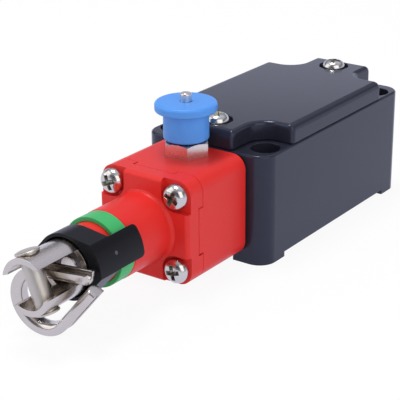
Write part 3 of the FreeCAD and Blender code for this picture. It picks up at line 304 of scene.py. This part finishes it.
# rings round a local Z axis; a ring is (radius, height) or a function of the angle that gives both
def polarMesh(rings, angles, place):
    points, faces, rows = [], [], []
    for ring in rings:
        spots = [ring(a) if callable(ring) else ring for a in angles]
        if not any(r for r, h in spots):
            rows.append([len(points)])
            points.append(place @ Vector((0, 0, spots[0][1])) * mm)
            continue
        rows.append([len(points) + k for k in range(len(angles))])
        points += [place @ Vector((r * math.cos(a), r * math.sin(a), h)) * mm
                   for a, (r, h) in zip(angles, spots)]
    count = len(angles)
    for low, high in zip(rows, rows[1:]):
        for k in range(count):
            n = (k + 1) % count
            if len(low) == 1:
                faces.append((low[0], high[n], high[k]))
            elif len(high) == 1:
                faces.append((low[k], low[n], high[0]))
            else:
                faces.append((low[k], low[n], high[n], high[k]))
    return points, faces


def evenAngles(count):
    return [2 * math.pi * k / count for k in range(count)]


# angles of a quarter turn, both ends included
def quarterTurn(steps):
    return [k * math.pi / (2 * steps) for k in range(steps + 1)]


# corners of a profile, given as (radius, height, rounding), turned into arcs
def roundCorners(points, steps):
    arcs = []
    for k, (r, h, radius) in enumerate(points):
        corner = Vector((r, h))
        if radius <= 0:
            arcs.append((r, h))
            continue
        before = (Vector(points[k - 1][:2]) - corner).normalized()
        after = (Vector(points[(k + 1) % len(points)][:2]) - corner).normalized()
        half = before.angle(after) / 2
        middle = corner + (before + after).normalized() * (radius / math.sin(half))
        first = corner + before * (radius / math.tan(half)) - middle
        last = corner + after * (radius / math.tan(half)) - middle
        sweep = first.angle_signed(last)
        for s in range(steps + 1):
            spot = middle + Matrix.Rotation(-sweep * s / steps, 2) @ first
            arcs.append((spot.x, spot.y))
    return arcs


def joinMeshes(name, parts):
    points, faces = [], []
    for more, sides in parts:
        shift = len(points)
        points += more
        faces += [tuple(v + shift for v in side) for side in sides]
    mesh = bpy.data.meshes.new(name)
    mesh.from_pydata(points, [], faces)
    work = bmesh.new()
    work.from_mesh(mesh)
    bmesh.ops.remove_doubles(work, verts=work.verts, dist=rounding["seam"])
    bmesh.ops.recalc_face_normals(work, faces=work.faces)
    work.to_mesh(mesh)
    work.free()
    return mesh


# thread in the cable entry, cut outwards from its bore
entryThread = {
    "bore": 18.5,          # mm
    "depth": 0.65,
    "pitch": 1.5,
    "crest": 0.15,         # share of half a turn that stays at the bore
    "flank": 0.7,          # share of it that slopes
    "ringsPerTurn": 8,
    "runOut": 0.8,         # length over which it fades at both ends
    "behind": 20.0,        # the bore lies beyond this y
    "shortest": 5.0,       # its faces are longer than this
    "tolerance": 0.03,     # of its radius
}


def threadDepth(along, angle, room):
    turn = (along / entryThread["pitch"] - angle / (2 * math.pi)) % 1
    flank = (abs(turn - 0.5) * 2 - entryThread["crest"]) / entryThread["flank"]
    fade = min(along, room - along) / entryThread["runOut"]
    return entryThread["depth"] * min(1, max(0, flank)) * min(1, max(0, fade))


def cutThread(work):
    radius, height = entryThread["bore"] / 2, shaft["height"]

    def onBore(vert):
        reach = math.hypot(vert.co.x, vert.co.z - height * mm)
        close = abs(reach - radius * mm) < entryThread["tolerance"] * mm
        return close and vert.co.y > entryThread["behind"] * mm

    def angleOf(vert):
        return math.atan2(vert.co.z - height * mm, vert.co.x)

    def lengthOf(face):
        return max(v.co.y for v in face.verts) - min(v.co.y for v in face.verts)

    bore = [f for f in work.faces if all(onBore(v) for v in f.verts)
            and lengthOf(f) > entryThread["shortest"] * mm]
    verts = {v for f in bore for v in f.verts}
    middle = sum(v.co.y for v in verts) / len(verts)
    low = sorted([v for v in verts if v.co.y < middle], key=angleOf)
    high = sorted([v for v in verts if v.co.y > middle], key=angleOf)
    start, room = low[0].co.y / mm, (high[0].co.y - low[0].co.y) / mm
    bmesh.ops.delete(work, geom=bore, context="FACES")
    rows = [low]
    count = int(room / entryThread["pitch"] * entryThread["ringsPerTurn"])
    for k in range(1, count):
        along = room * k / count
        row = []
        for vert in low:
            angle = angleOf(vert)
            r = radius + threadDepth(along, angle, room)
            spot = Vector((r * math.cos(angle), start + along, height + r * math.sin(angle)))
            row.append(work.verts.new(spot * mm))
        rows.append(row)
    rows.append(high)
    for near, far in zip(rows, rows[1:]):
        for k in range(len(low)):
            n = (k + 1) % len(low)
            work.faces.new((near[k], near[n], far[n], far[k]))


# pale dimple on each wing of the cap
dimple = {
    "setback": 6.8,        # mm from the cap's front
    "reach": 0.62,
    "wing": (10.5, 11.27),   # span of the wing that it lies in
}


def paleDimples(piece):
    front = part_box("indicator_cap")[0].y / mm
    back = eyePlace(front + dimple["setback"]).inverted()
    low, high = dimple["wing"]
    piece.data.materials.append(finish["palePlastic"])
    for side in piece.data.polygons:
        spot = back @ (side.center / mm)
        close = math.hypot(spot.y, spot.z) < dimple["reach"]
        side.material_index = int(close and low < abs(spot.x) < high)


# what shows outside, rounded at its edges, apart from those in a box that is out of sight
beyond = 99                # mm, further out than any piece
outside = {
    # node: piece, body, slot, finish, width of the rounding (mm), box (mm)
    "housing": ("housing_shell", "base", "black_enamel", "blackEnamel", 0.22,
                ((-beyond, -beyond, -1), (beyond, beyond, 0.4))),
    "cover": ("cover_shell", "base", "black_enamel", "blackEnamel", 0.3,
              ((-beyond, -beyond, 0), (beyond, beyond, 32))),
    "head_body": ("head_block", "base", "red_enamel", "redEnamel", 0.3,
                  ((-12.4, -beyond, 4.6), (12.4, beyond, 29.4))),
    "head_front": ("head_plate", "base", "red_enamel", "redEnamel", 0.5,
                   ((-beyond, -64.6, -beyond), (beyond, beyond, beyond))),
    "tension_ring": ("green_ring", "base", "green_plastic", "greenPlastic", 0.25, ()),
    "hex_bushing": ("hexagon_bushing", "base", "turned_steel", "turnedSteel", 0.12,
                    ((-beyond, -beyond, 0), (beyond, beyond, 35.6))),
    "reset_pin": ("knob_pin", "reset", "turned_steel", "turnedSteel", 0.15, ()),
    "indicator_cap": ("winged_cap", "eye", "black_plastic", "blackPlastic", 0.2, ()),
    "eye_fork": ("slotted_eye", "eye", "sheet_steel", "sheetSteel", 0.12, ()),
    # the nut gets painted shade, a darker finish than its turned steel slot
    "shaft_nut": ("hexagon_nut", "pull", "turned_steel", "cupShadeSteel", 0.15, ()),
}
for node, (name, body, slotName, finishName, width, bare) in outside.items():
    carve = cutThread if node == "housing" else None
    piece = softenNode(node, name, body, slotName, finishName, width, bare, carve)
    if node == "indicator_cap":
        paleDimples(piece)
print("outside pieces rounded:", len(outside))


# domed screws with a cross recess
panScrew = {
    "head": 6.8,           # mm
    "height": 3.1,
    "rim": 0.9,            # straight part of the head
    "rimRow": 0.7,         # a row of corners on it, as a share of its height
    "foot": 0.15,          # bevel under the head
    "flatness": 3.2,       # power of the dome's curve, 2 is an ellipse
    "domeSteps": 9,
    "shank": 3.5,
    "tipBevel": 0.3,
    "crossSpan": 4.0,
    "crossWidth": 1.15,
    "crossDepth": 1.6,
    "crossMargin": 0.08,   # between the dome's last row and the recess
    "crossLip": 0.06,      # drop at the edge of the recess
    "crossWall": 0.8,      # share of span and depth at the foot of the recess wall
    "crossFloor": 0.35,    # share of the span at its floor
    "crossPit": 0.1,       # deeper in the middle
    "crossBands": 4,       # rows of faces in the recess, laid last
    "sidesPerQuarter": 14,
    "headTurns": (22, 64, 30, 12),    # degrees, one for each screw
    "coverTurns": (40, 15),
    "sharp": 40,           # degrees
}


def crossReach(angle, half, width):
    fold = abs((angle + math.pi / 4) % (math.pi / 2) - math.pi / 4)
    if math.tan(fold) <= width / half:
        return half / math.cos(fold)
    return width / math.sin(fold)


def panScrewMesh(place, length):
    radius, shank = panScrew["head"] / 2, panScrew["shank"] / 2
    rise = panScrew["height"] - panScrew["rim"]
    half, width = panScrew["crossSpan"] / 2, panScrew["crossWidth"] / 2
    tip = math.atan2(width, half)
    arm = [tip * k / 2 for k in range(-2, 3)]
    gaps = panScrew["sidesPerQuarter"] - len(arm) + 1
    quarter = arm + [tip + (math.pi / 2 - 2 * tip) * k / gaps for k in range(1, gaps)]
    angles = [a + math.pi / 2 * k for k in range(4) for a in quarter]

    def dome(r):
        return panScrew["rim"] + rise * math.sqrt(max(0.0, 1 - (r / radius) ** panScrew["flatness"]))

    def domeRow(share):
        def ring(angle):
            edge = crossReach(angle, half, width) + panScrew["crossMargin"]
            r = edge + (radius - edge) * math.cos(share * math.pi / 2)
            return r, dome(r)
        return ring

    def crossLip(angle):
        edge = crossReach(angle, half, width)
        return edge, dome(edge) - panScrew["crossLip"]

    def crossRow(shrink, drop):
        def ring(angle):
            return crossReach(angle, half, width) * shrink, panScrew["height"] - drop
        return ring

    bevel, foot, depth = panScrew["tipBevel"], panScrew["foot"], panScrew["crossDepth"]
    wall, floor, pit = panScrew["crossWall"], panScrew["crossFloor"], panScrew["crossPit"]
    rings = [(0, -length), (shank - bevel, -length), (shank, -length + bevel), (shank, 0),
             (radius - foot, 0), (radius, foot), (radius, panScrew["rim"] * panScrew["rimRow"])]
    rings += [domeRow(k / panScrew["domeSteps"]) for k in range(panScrew["domeSteps"] + 1)]
    rings += [crossLip, crossRow(wall, depth * wall), crossRow(floor, depth),
              (0, panScrew["height"] - depth - pit)]
    return polarMesh(rings, angles, place)


# a set of screws as one piece, with painted shade: darker steel in the cross recess than on the head
def makeScrews(name, node, parts):
    mesh = joinMeshes(name, parts)
    piece = makePiece(name, mesh, node, "base", "screw_steel", "brightSteel", panScrew["sharp"])
    piece.data.materials.append(finish["recessShadeSteel"])
    each = len(piece.data.polygons) // len(parts)
    head = each - panScrew["crossBands"] * panScrew["sidesPerQuarter"] * 4
    for side in piece.data.polygons:
        side.material_index = int(side.index % each >= head)


def layHeadScrews():
    low, high = [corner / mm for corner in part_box("head_screws")]
    seat = low.y + panScrew["height"]
    reach = high.x - panScrew["head"] / 2
    middle = (low.z + high.z) / 2
    forward = Matrix.Rotation(math.radians(90), 4, "X")
    corners = [(sx, sz) for sz in (1, -1) for sx in (-1, 1)]
    parts = []
    for (sx, sz), turn in zip(corners, panScrew["headTurns"]):
        spot = Matrix.Translation((sx * reach, seat, middle + sz * reach))
        place = spot @ forward @ Matrix.Rotation(math.radians(turn), 4, "Z")
        parts.append(panScrewMesh(place, high.y - seat))
    makeScrews("head_pan_screws", "head_screws", parts)


def layCoverScrews():
    low, high = [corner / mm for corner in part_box("cover_screws")]
    seat = high.z - panScrew["height"]
    reach = high.y - panScrew["head"] / 2
    parts = []
    for sy, turn in zip((-1, 1), panScrew["coverTurns"]):
        spot = Matrix.Translation((0, sy * reach, seat))
        place = spot @ Matrix.Rotation(math.radians(turn), 4, "Z")
        parts.append(panScrewMesh(place, seat - low.z))
    makeScrews("cover_pan_screws", "cover_screws", parts)


layHeadScrews()
layCoverScrews()
print("screws turned:", len(panScrew["headTurns"]) + len(panScrew["coverTurns"]))


# blue reset knob, a disc on a neck
knob = {
    "neck": 12.1,          # mm
    "disc": 2.5,           # thickness of the disc
    "hollow": 9.0,
    "hollowDepth": 5.0,
    "bore": 3.1,
    "boreFlare": 0.12,     # wider at its mouth
    "boreBevel": 0.3,      # height of the flare
    "boreRound": 0.08,
    "rimRound": 0.9,
    "shelfRound": 0.55,
    "neckRound": 0.35,
    "footRound": 0.6,
    "mouthRound": 0.2,
    "roofRound": 0.3,
    "cornerSteps": 5,
    "segments": 96,
    "sharp": 30,           # degrees
}


def turnKnob():
    low, high = [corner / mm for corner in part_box("reset_knob")]
    middle = (low + high) / 2
    rim, neck = (high.x - low.x) / 2, knob["neck"] / 2
    hollow, bore = knob["hollow"] / 2, knob["bore"] / 2
    shelf, roof = high.z - knob["disc"], low.z + knob["hollowDepth"]
    profile = [
        (hollow, low.z, knob["mouthRound"]),
        (neck, low.z, knob["footRound"]),
        (neck, shelf, knob["neckRound"]),
        (rim, shelf, knob["shelfRound"]),
        (rim, high.z, knob["rimRound"]),
        (bore + knob["boreFlare"], high.z, knob["boreRound"]),
        (bore, high.z - knob["boreBevel"], 0),
        (bore, roof, 0),
        (hollow, roof, knob["roofRound"]),
    ]
    rings = roundCorners(profile, knob["cornerSteps"])
    place = Matrix.Translation((middle.x, middle.y, 0))
    mesh = joinMeshes("blue_knob", [polarMesh(rings + rings[:1], evenAngles(knob["segments"]), place)])
    makePiece("blue_knob", mesh, "reset_knob", "reset", "blue_plastic", "bluePlastic", knob["sharp"])


turnKnob()
print("knob turned")


# pin across the eye, with two low domed heads
eyePin = {
    "shank": 4.9,          # mm
    "head": 6.2,
    "headHeight": 0.9,
    "rim": 0.35,
    "foot": 0.1,           # bevel under the head
    "highSpot": 0.29,      # where the leaning head is highest, as a share of its width
    "domeSteps": 8,
    "segments": 64,
    "sharp": 35,           # degrees
}


def turnEyePin():
    low, high = [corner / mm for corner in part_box("eye_rivet")]
    turn = math.radians(shaft["eyeTurn"])
    head, shank, foot = eyePin["head"] / 2, eyePin["shank"] / 2, eyePin["foot"]
    reach = (high.z - low.z) / 2
    top = (reach - eyePin["head"] * eyePin["highSpot"] * math.sin(turn)) / math.cos(turn)
    seat = top - eyePin["headHeight"]
    rise = eyePin["headHeight"] - eyePin["rim"]
    half = [(shank, seat), (head - foot, seat), (head, seat + foot), (head, seat + eyePin["rim"])]
    half += [(head * math.cos(a), seat + eyePin["rim"] + rise * math.sin(a))
             for a in quarterTurn(eyePin["domeSteps"])[1:-1]]
    half.append((0, top))
    rings = [(r, -h) for r, h in half[::-1]] + half
    place = eyePlace((low.y + high.y) / 2)
    mesh = joinMeshes("eye_pin", [polarMesh(rings, evenAngles(eyePin["segments"]), place)])
    makePiece("eye_pin", mesh, "eye_rivet", "eye", "sheet_steel", "satinSteel", eyePin["sharp"])


turnEyePin()
print("eye pin turned")


# rope thimble, a bent channel; the tip of its lower leg is pinched shut
thimble = {
    "hole": 12.4,          # mm
    "point": 15.5,         # centre of the bow to where the legs would meet
    "gap": 0.7,            # the tips stop this far before it
    "width": 4.3,
    "depth": 2.8,
    "wall": 0.9,
    "floorRound": 1.5,
    "lipRound": 0.3,
    "grooveRound": 1.05,   # in the groove's corners
    "grooveShare": 0.9,    # at most this share of half the groove's width
    "grooveLeast": 0.05,
    "cornerSteps": 5,
    "closing": 3.2,        # length over which the lower leg's groove runs out
    "shutSide": -1,        # that leg
    "shutDepth": 0.25,     # depth of groove that is left at its tip
    "slant": 0.16,         # lead of the lips over the floor, per mm of depth
    "slantReach": 4.5,     # distance from the tip where the lead starts
    "tipRound": 0.45,
    "rows": (0, 0.06, 0.15, 0.28, 0.45, 0.8, 1.2, 1.6, 2.5, 4.5, 7.5, 10.5),   # distances from the tip
    "bowSteps": 44,
    "aside": -4.95,
    "drop": -5.8,
    "setback": 9.3,
    "swing": 5.0,          # degrees
    "lean": 3.0,
    "roll": 5.8,
    "sharp": 40,
}


# half of the channel's section, outer skin then inner skin, as (across, outwards)
def channelSection(half, wall):
    depth, bead, bend = thimble["depth"], thimble["lipRound"] / 2, thimble["floorRound"]
    edge = half - thimble["wall"]
    room = max(thimble["grooveLeast"], depth - wall - thimble["lipRound"])
    nook = min(thimble["grooveRound"], thimble["grooveShare"] * edge, room)
    quarter = quarterTurn(thimble["cornerSteps"])
    outer = [(half - bead + bead * math.sin(a), depth - bead + bead * math.cos(a)) for a in quarter]
    outer += [(half - bend + bend * math.cos(a), bend - bend * math.sin(a)) for a in quarter]
    outer += [(0.0, 0.0)]
    inner = [(edge + bead - bead * math.sin(a), depth - bead + bead * math.cos(a)) for a in quarter]
    inner += [(edge - nook + nook * math.cos(a), wall + nook - nook * math.sin(a)) for a in quarter]
    inner += [(0.0, wall)]
    return outer, inner


# where the thimble's floor runs: spot, outward direction, direction to the tip, distance to it, side
def thimblePath():
    radius = thimble["hole"] / 2
    fan = math.acos(radius / thimble["point"])
    leg = math.sqrt(thimble["point"] ** 2 - radius ** 2) - thimble["gap"]
    steps = thimble["bowSteps"]
    path = []
    for side in (1, -1):
        out = Vector((math.cos(fan), side * math.sin(fan), 0))
        along = (Vector((thimble["point"], 0, 0)) - out * radius).normalized()
        row = [(out * radius + along * (leg - s), out, along, s, side) for s in thimble["rows"]]
        if side > 0:
            path += row
            turns = [fan + (2 * math.pi - 2 * fan) * k / steps for k in range(steps + 1)]
            bow = [Vector((math.cos(a), math.sin(a), 0)) for a in turns]
            path += [(out * radius, out, along, leg, 0) for out in bow]
        else:
            path += row[::-1]
    return path


def thimblePlace():
    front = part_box("eye_fork")[0].y / mm
    hang = Matrix.Translation((thimble["aside"], front + thimble["setback"], thimble["drop"]))
    swing = Matrix.Rotation(math.radians(thimble["swing"]), 4, "Z")
    stand = Matrix.Rotation(math.radians(90 + thimble["lean"]), 4, "X")
    roll = Matrix.Rotation(math.radians(thimble["roll"]), 4, "Z")
    return eyePlace(0) @ hang @ swing @ stand @ roll


# half width, floor thickness and lead of the lips at a distance from a tip
def tipShape(reach, side):
    near = max(0.0, 1 - reach / thimble["closing"]) if side == thimble["shutSide"] else 0.0
    fill = thimble["depth"] - thimble["shutDepth"] - thimble["wall"]
    wall = thimble["wall"] + fill * near * near * (3 - 2 * near)
    curve = thimble["tipRound"]
    short = max(0.0, curve - reach)
    half = thimble["width"] / 2 - curve + math.sqrt(curve ** 2 - short ** 2)
    lead = thimble["slant"] * max(0.0, 1 - reach / thimble["slantReach"])
    return half, wall, lead


def bendThimble():
    place = thimblePlace()
    points, faces, rows = [], [], []
    for spot, out, along, reach, side in thimblePath():
        half, wall, lead = tipShape(reach, side)
        slope = out + along * lead
        row = []
        for skin in channelSection(half, wall):
            ends = skin + [(-u, v) for u, v in skin[-2::-1]]
            row.append([len(points) + k for k in range(len(ends))])
            points += [place @ (spot + slope * v + Vector((0, 0, u))) * mm for u, v in ends]
        rows.append(row)
    for (outA, inA), (outB, inB) in zip(rows, rows[1:]):
        loopA, loopB = outA + inA[::-1], outB + inB[::-1]
        for k in range(len(loopA)):
            n = (k + 1) % len(loopA)
            faces.append((loopA[k], loopA[n], loopB[n], loopB[k]))
    for outer, inner in (rows[0], rows[-1]):
        faces += [(outer[k], outer[k + 1], inner[k + 1], inner[k]) for k in range(len(outer) - 1)]
    mesh = joinMeshes("thimble", [(points, faces)])
    makePiece("thimble", mesh, "rope_thimble", "thimble", "sheet_steel", "sheetSteel", thimble["sharp"])


bendThimble()
print("thimble bent")


# pieces inside keep their CAD shape
inside = {
    "cover_gasket": "rubber", "head_gasket": "rubber", "shaft_seal": "rubber", "guide_bush": "bronze",
    "rear_guide": "whitePlastic", "contact_block": "whitePlastic", "contact_plunger": "redPlastic",
    "pull_shaft": "turnedSteel", "spring_plate": "turnedSteel", "trip_lever": "turnedSteel",
    "lever_pin": "turnedSteel", "retaining_clip": "springSteel", "contact_bridges": "brass",
    "fixed_contacts": "brass", "earth_screw": "brass", "terminal_screws": "brightSteel",
    "block_screws": "brightSteel",
}
for node, finishName in inside.items():
    mesh = cadNodes[node].data
    mesh.materials.clear()
    mesh.materials.append(finish[finishName])
print("inside pieces painted:", len(inside))


# springs, laid as copies of their CAD coils
springs = {
    # node: piece, joint, share of its length left at the limit, axis, fixed end (m)
    "main_spring": ("pull_coil", "rope_pull", 0.62, (0, 1, 0), (0, -0.0795, 0.017)),
    "reset_spring": ("reset_coil", "reset_pull", 0.635, (0, 0, 1), (0, -0.045, 0.0336)),
}

coilSharp = 50             # degrees


def layCoil(node, name, body):
    mesh = cadNodes[node].data.copy()
    mesh.name = name
    work = bmesh.new()
    work.from_mesh(mesh)
    bmesh.ops.remove_doubles(work, verts=work.verts, dist=rounding["weld"])
    work.to_mesh(mesh)
    work.free()
    return makePiece(name, mesh, node, body, "spring_steel", "springSteel", coilSharp)


for node, (name, joint, keep, axis, anchor) in springs.items():
    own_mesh(layCoil(node, name, "base"))
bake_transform(layCoil("plunger_spring", "contact_coil", None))
print("springs laid:", len(springs) + 1)


# plain pale floor and soft studio light
studio = {
    "floorSize": 6.0,        # m
    "floorColour": (0.9, 0.9, 0.9),
    "floorRough": 0.9,
    "shadow": 0.08,          # share of the floor's own shade that the camera sees
    "fill": 0.5,             # strength of the world on the object
    "roomColour": (0.79, 0.82, 1.0),  # tone of the room in reflections
    "roomAxis": (-0.35, 0.9, 0.35),   # reflections are brightest this way
    "roomFront": 0.12,       # and this bright the other way
    "roomLevels": ((0.3, 1.0), (0.345, 0.12), (0.5, 0.35), (0.75, 0.9)),   # height, brightness
    "lamps": (
        # name, place (m), aim (m), size (m), power (W)
        ("top", (-0.12, -0.02, 0.78), (0, -0.02, 0.02), 0.22, 2.9),
        ("right", (0.8, -0.4, 0.5), (0, -0.02, 0.02), 0.9, 3.4),
        ("left", (-0.7, -0.6, 0.55), (0, -0.05, 0.02), 0.9, 2.9),
    ),
}


def joinSockets(tree, operation, first, second):
    node = addNode(tree, "ShaderNodeMath", operation=operation)
    tree.links.new(first, node.inputs[0])
    tree.links.new(second, node.inputs[1])
    return node.outputs[0]


# 1 for rays that show the floor, straight or mirrored, 0 for its light on other things
def seenOnly(tree):
    rays = addNode(tree, "ShaderNodeLightPath").outputs
    direct = joinSockets(tree, "MAXIMUM", rays["Is Camera Ray"], rays["Is Glossy Ray"])
    return joinSockets(tree, "MAXIMUM", direct, rays["Is Transmission Ray"])


# white to the eye, cooler in reflections
def roomTone(tree):
    rays = addNode(tree, "ShaderNodeLightPath")
    tone = addNode(tree, "ShaderNodeMix", data_type="RGBA")
    tone.inputs[colourMix["first"]].default_value = (1, 1, 1, 1)
    tone.inputs[colourMix["second"]].default_value = (*studio["roomColour"], 1)
    tree.links.new(rays.outputs["Is Glossy Ray"], tone.inputs[colourMix["factor"]])
    return tone.outputs[colourMix["result"]]


def layFloor():
    half = studio["floorSize"] / 2
    corners = [(-half, -half, 0), (half, -half, 0), (half, half, 0), (-half, half, 0)]
    mesh = bpy.data.meshes.new("floor")
    mesh.from_pydata(corners, [], [(0, 1, 2, 3)])
    floor = bpy.data.objects.new("floor", mesh)
    bpy.context.scene.collection.objects.link(floor)
    mat, tree, shader = startFinish("pale_floor")
    shader.inputs["Base Color"].default_value = (*studio["floorColour"], 1)
    shader.inputs["Roughness"].default_value = studio["floorRough"]
    glow = addNode(tree, "ShaderNodeEmission")
    tree.links.new(roomTone(tree), glow.inputs["Color"])
    part = addNode(tree, "ShaderNodeMath", operation="MULTIPLY")
    part.inputs[1].default_value = 1 - studio["shadow"]
    tree.links.new(seenOnly(tree), part.inputs[0])
    mix = addNode(tree, "ShaderNodeMixShader")
    tree.links.new(part.outputs[0], mix.inputs["Fac"])
    tree.links.new(shader.outputs[0], mix.inputs[1])
    tree.links.new(glow.outputs[0], mix.inputs[2])
    tree.links.new(mix.outputs[0], tree.nodes["Material Output"].inputs["Surface"])
    mesh.materials.append(mat)


# brightness of the room in a direction: darker towards the front, and by height
def roomBrightness(tree):
    place = addNode(tree, "ShaderNodeTexCoord")
    facing = addNode(tree, "ShaderNodeVectorMath", operation="DOT_PRODUCT")
    facing.inputs[1].default_value = Vector(studio["roomAxis"]).normalized()
    tree.links.new(place.outputs["Generated"], facing.inputs[0])
    room = addNode(tree, "ShaderNodeMapRange")
    room.inputs["From Min"].default_value = -1.0
    room.inputs["From Max"].default_value = 1.0
    room.inputs["To Min"].default_value = studio["roomFront"]
    room.inputs["To Max"].default_value = 1.0
    tree.links.new(facing.outputs["Value"], room.inputs["Value"])
    height = addNode(tree, "ShaderNodeSeparateXYZ")
    tree.links.new(place.outputs["Generated"], height.inputs[0])
    screen = addNode(tree, "ShaderNodeValToRGB")
    stops = screen.color_ramp.elements
    for at, bright in studio["roomLevels"][len(stops):]:
        stops.new(at)
    for stop, (at, bright) in zip(stops, studio["roomLevels"]):
        stop.position = at
        stop.color = (bright, bright, bright, 1)
    tree.links.new(height.outputs["Z"], screen.inputs["Fac"])
    return joinSockets(tree, "MULTIPLY", room.outputs["Result"], screen.outputs["Color"])


# white where it is seen, the room in reflections, an even fill otherwise
def lightWorld():
    world = bpy.data.worlds.new("studio")
    bpy.context.scene.world = world
    world.use_nodes = True
    tree = world.node_tree
    back = tree.nodes["Background"]
    tree.links.new(roomTone(tree), back.inputs["Color"])
    rays = addNode(tree, "ShaderNodeLightPath").outputs
    mixed = addNode(tree, "ShaderNodeMix")
    mixed.inputs[numberMix["first"]].default_value = studio["fill"]
    tree.links.new(rays["Is Glossy Ray"], mixed.inputs[numberMix["factor"]])
    tree.links.new(roomBrightness(tree), mixed.inputs[numberMix["second"]])
    seen = joinSockets(tree, "MAXIMUM", rays["Is Camera Ray"], rays["Is Transmission Ray"])
    level = joinSockets(tree, "MAXIMUM", seen, mixed.outputs[numberMix["result"]])
    tree.links.new(level, back.inputs["Strength"])


def hangLamps():
    for name, place, aim, side, power in studio["lamps"]:
        data = bpy.data.lights.new(name, "AREA")
        data.shape = "SQUARE"
        data.size = side
        data.energy = power
        lamp = bpy.data.objects.new(name, data)
        bpy.context.scene.collection.objects.link(lamp)
        lamp.location = place
        lamp.rotation_euler = (Vector(aim) - Vector(place)).to_track_quat("-Z", "Y").to_euler()


layFloor()
lightWorld()
hangLamps()
bpy.context.scene.view_settings.view_transform = "Standard"
print("studio lit")
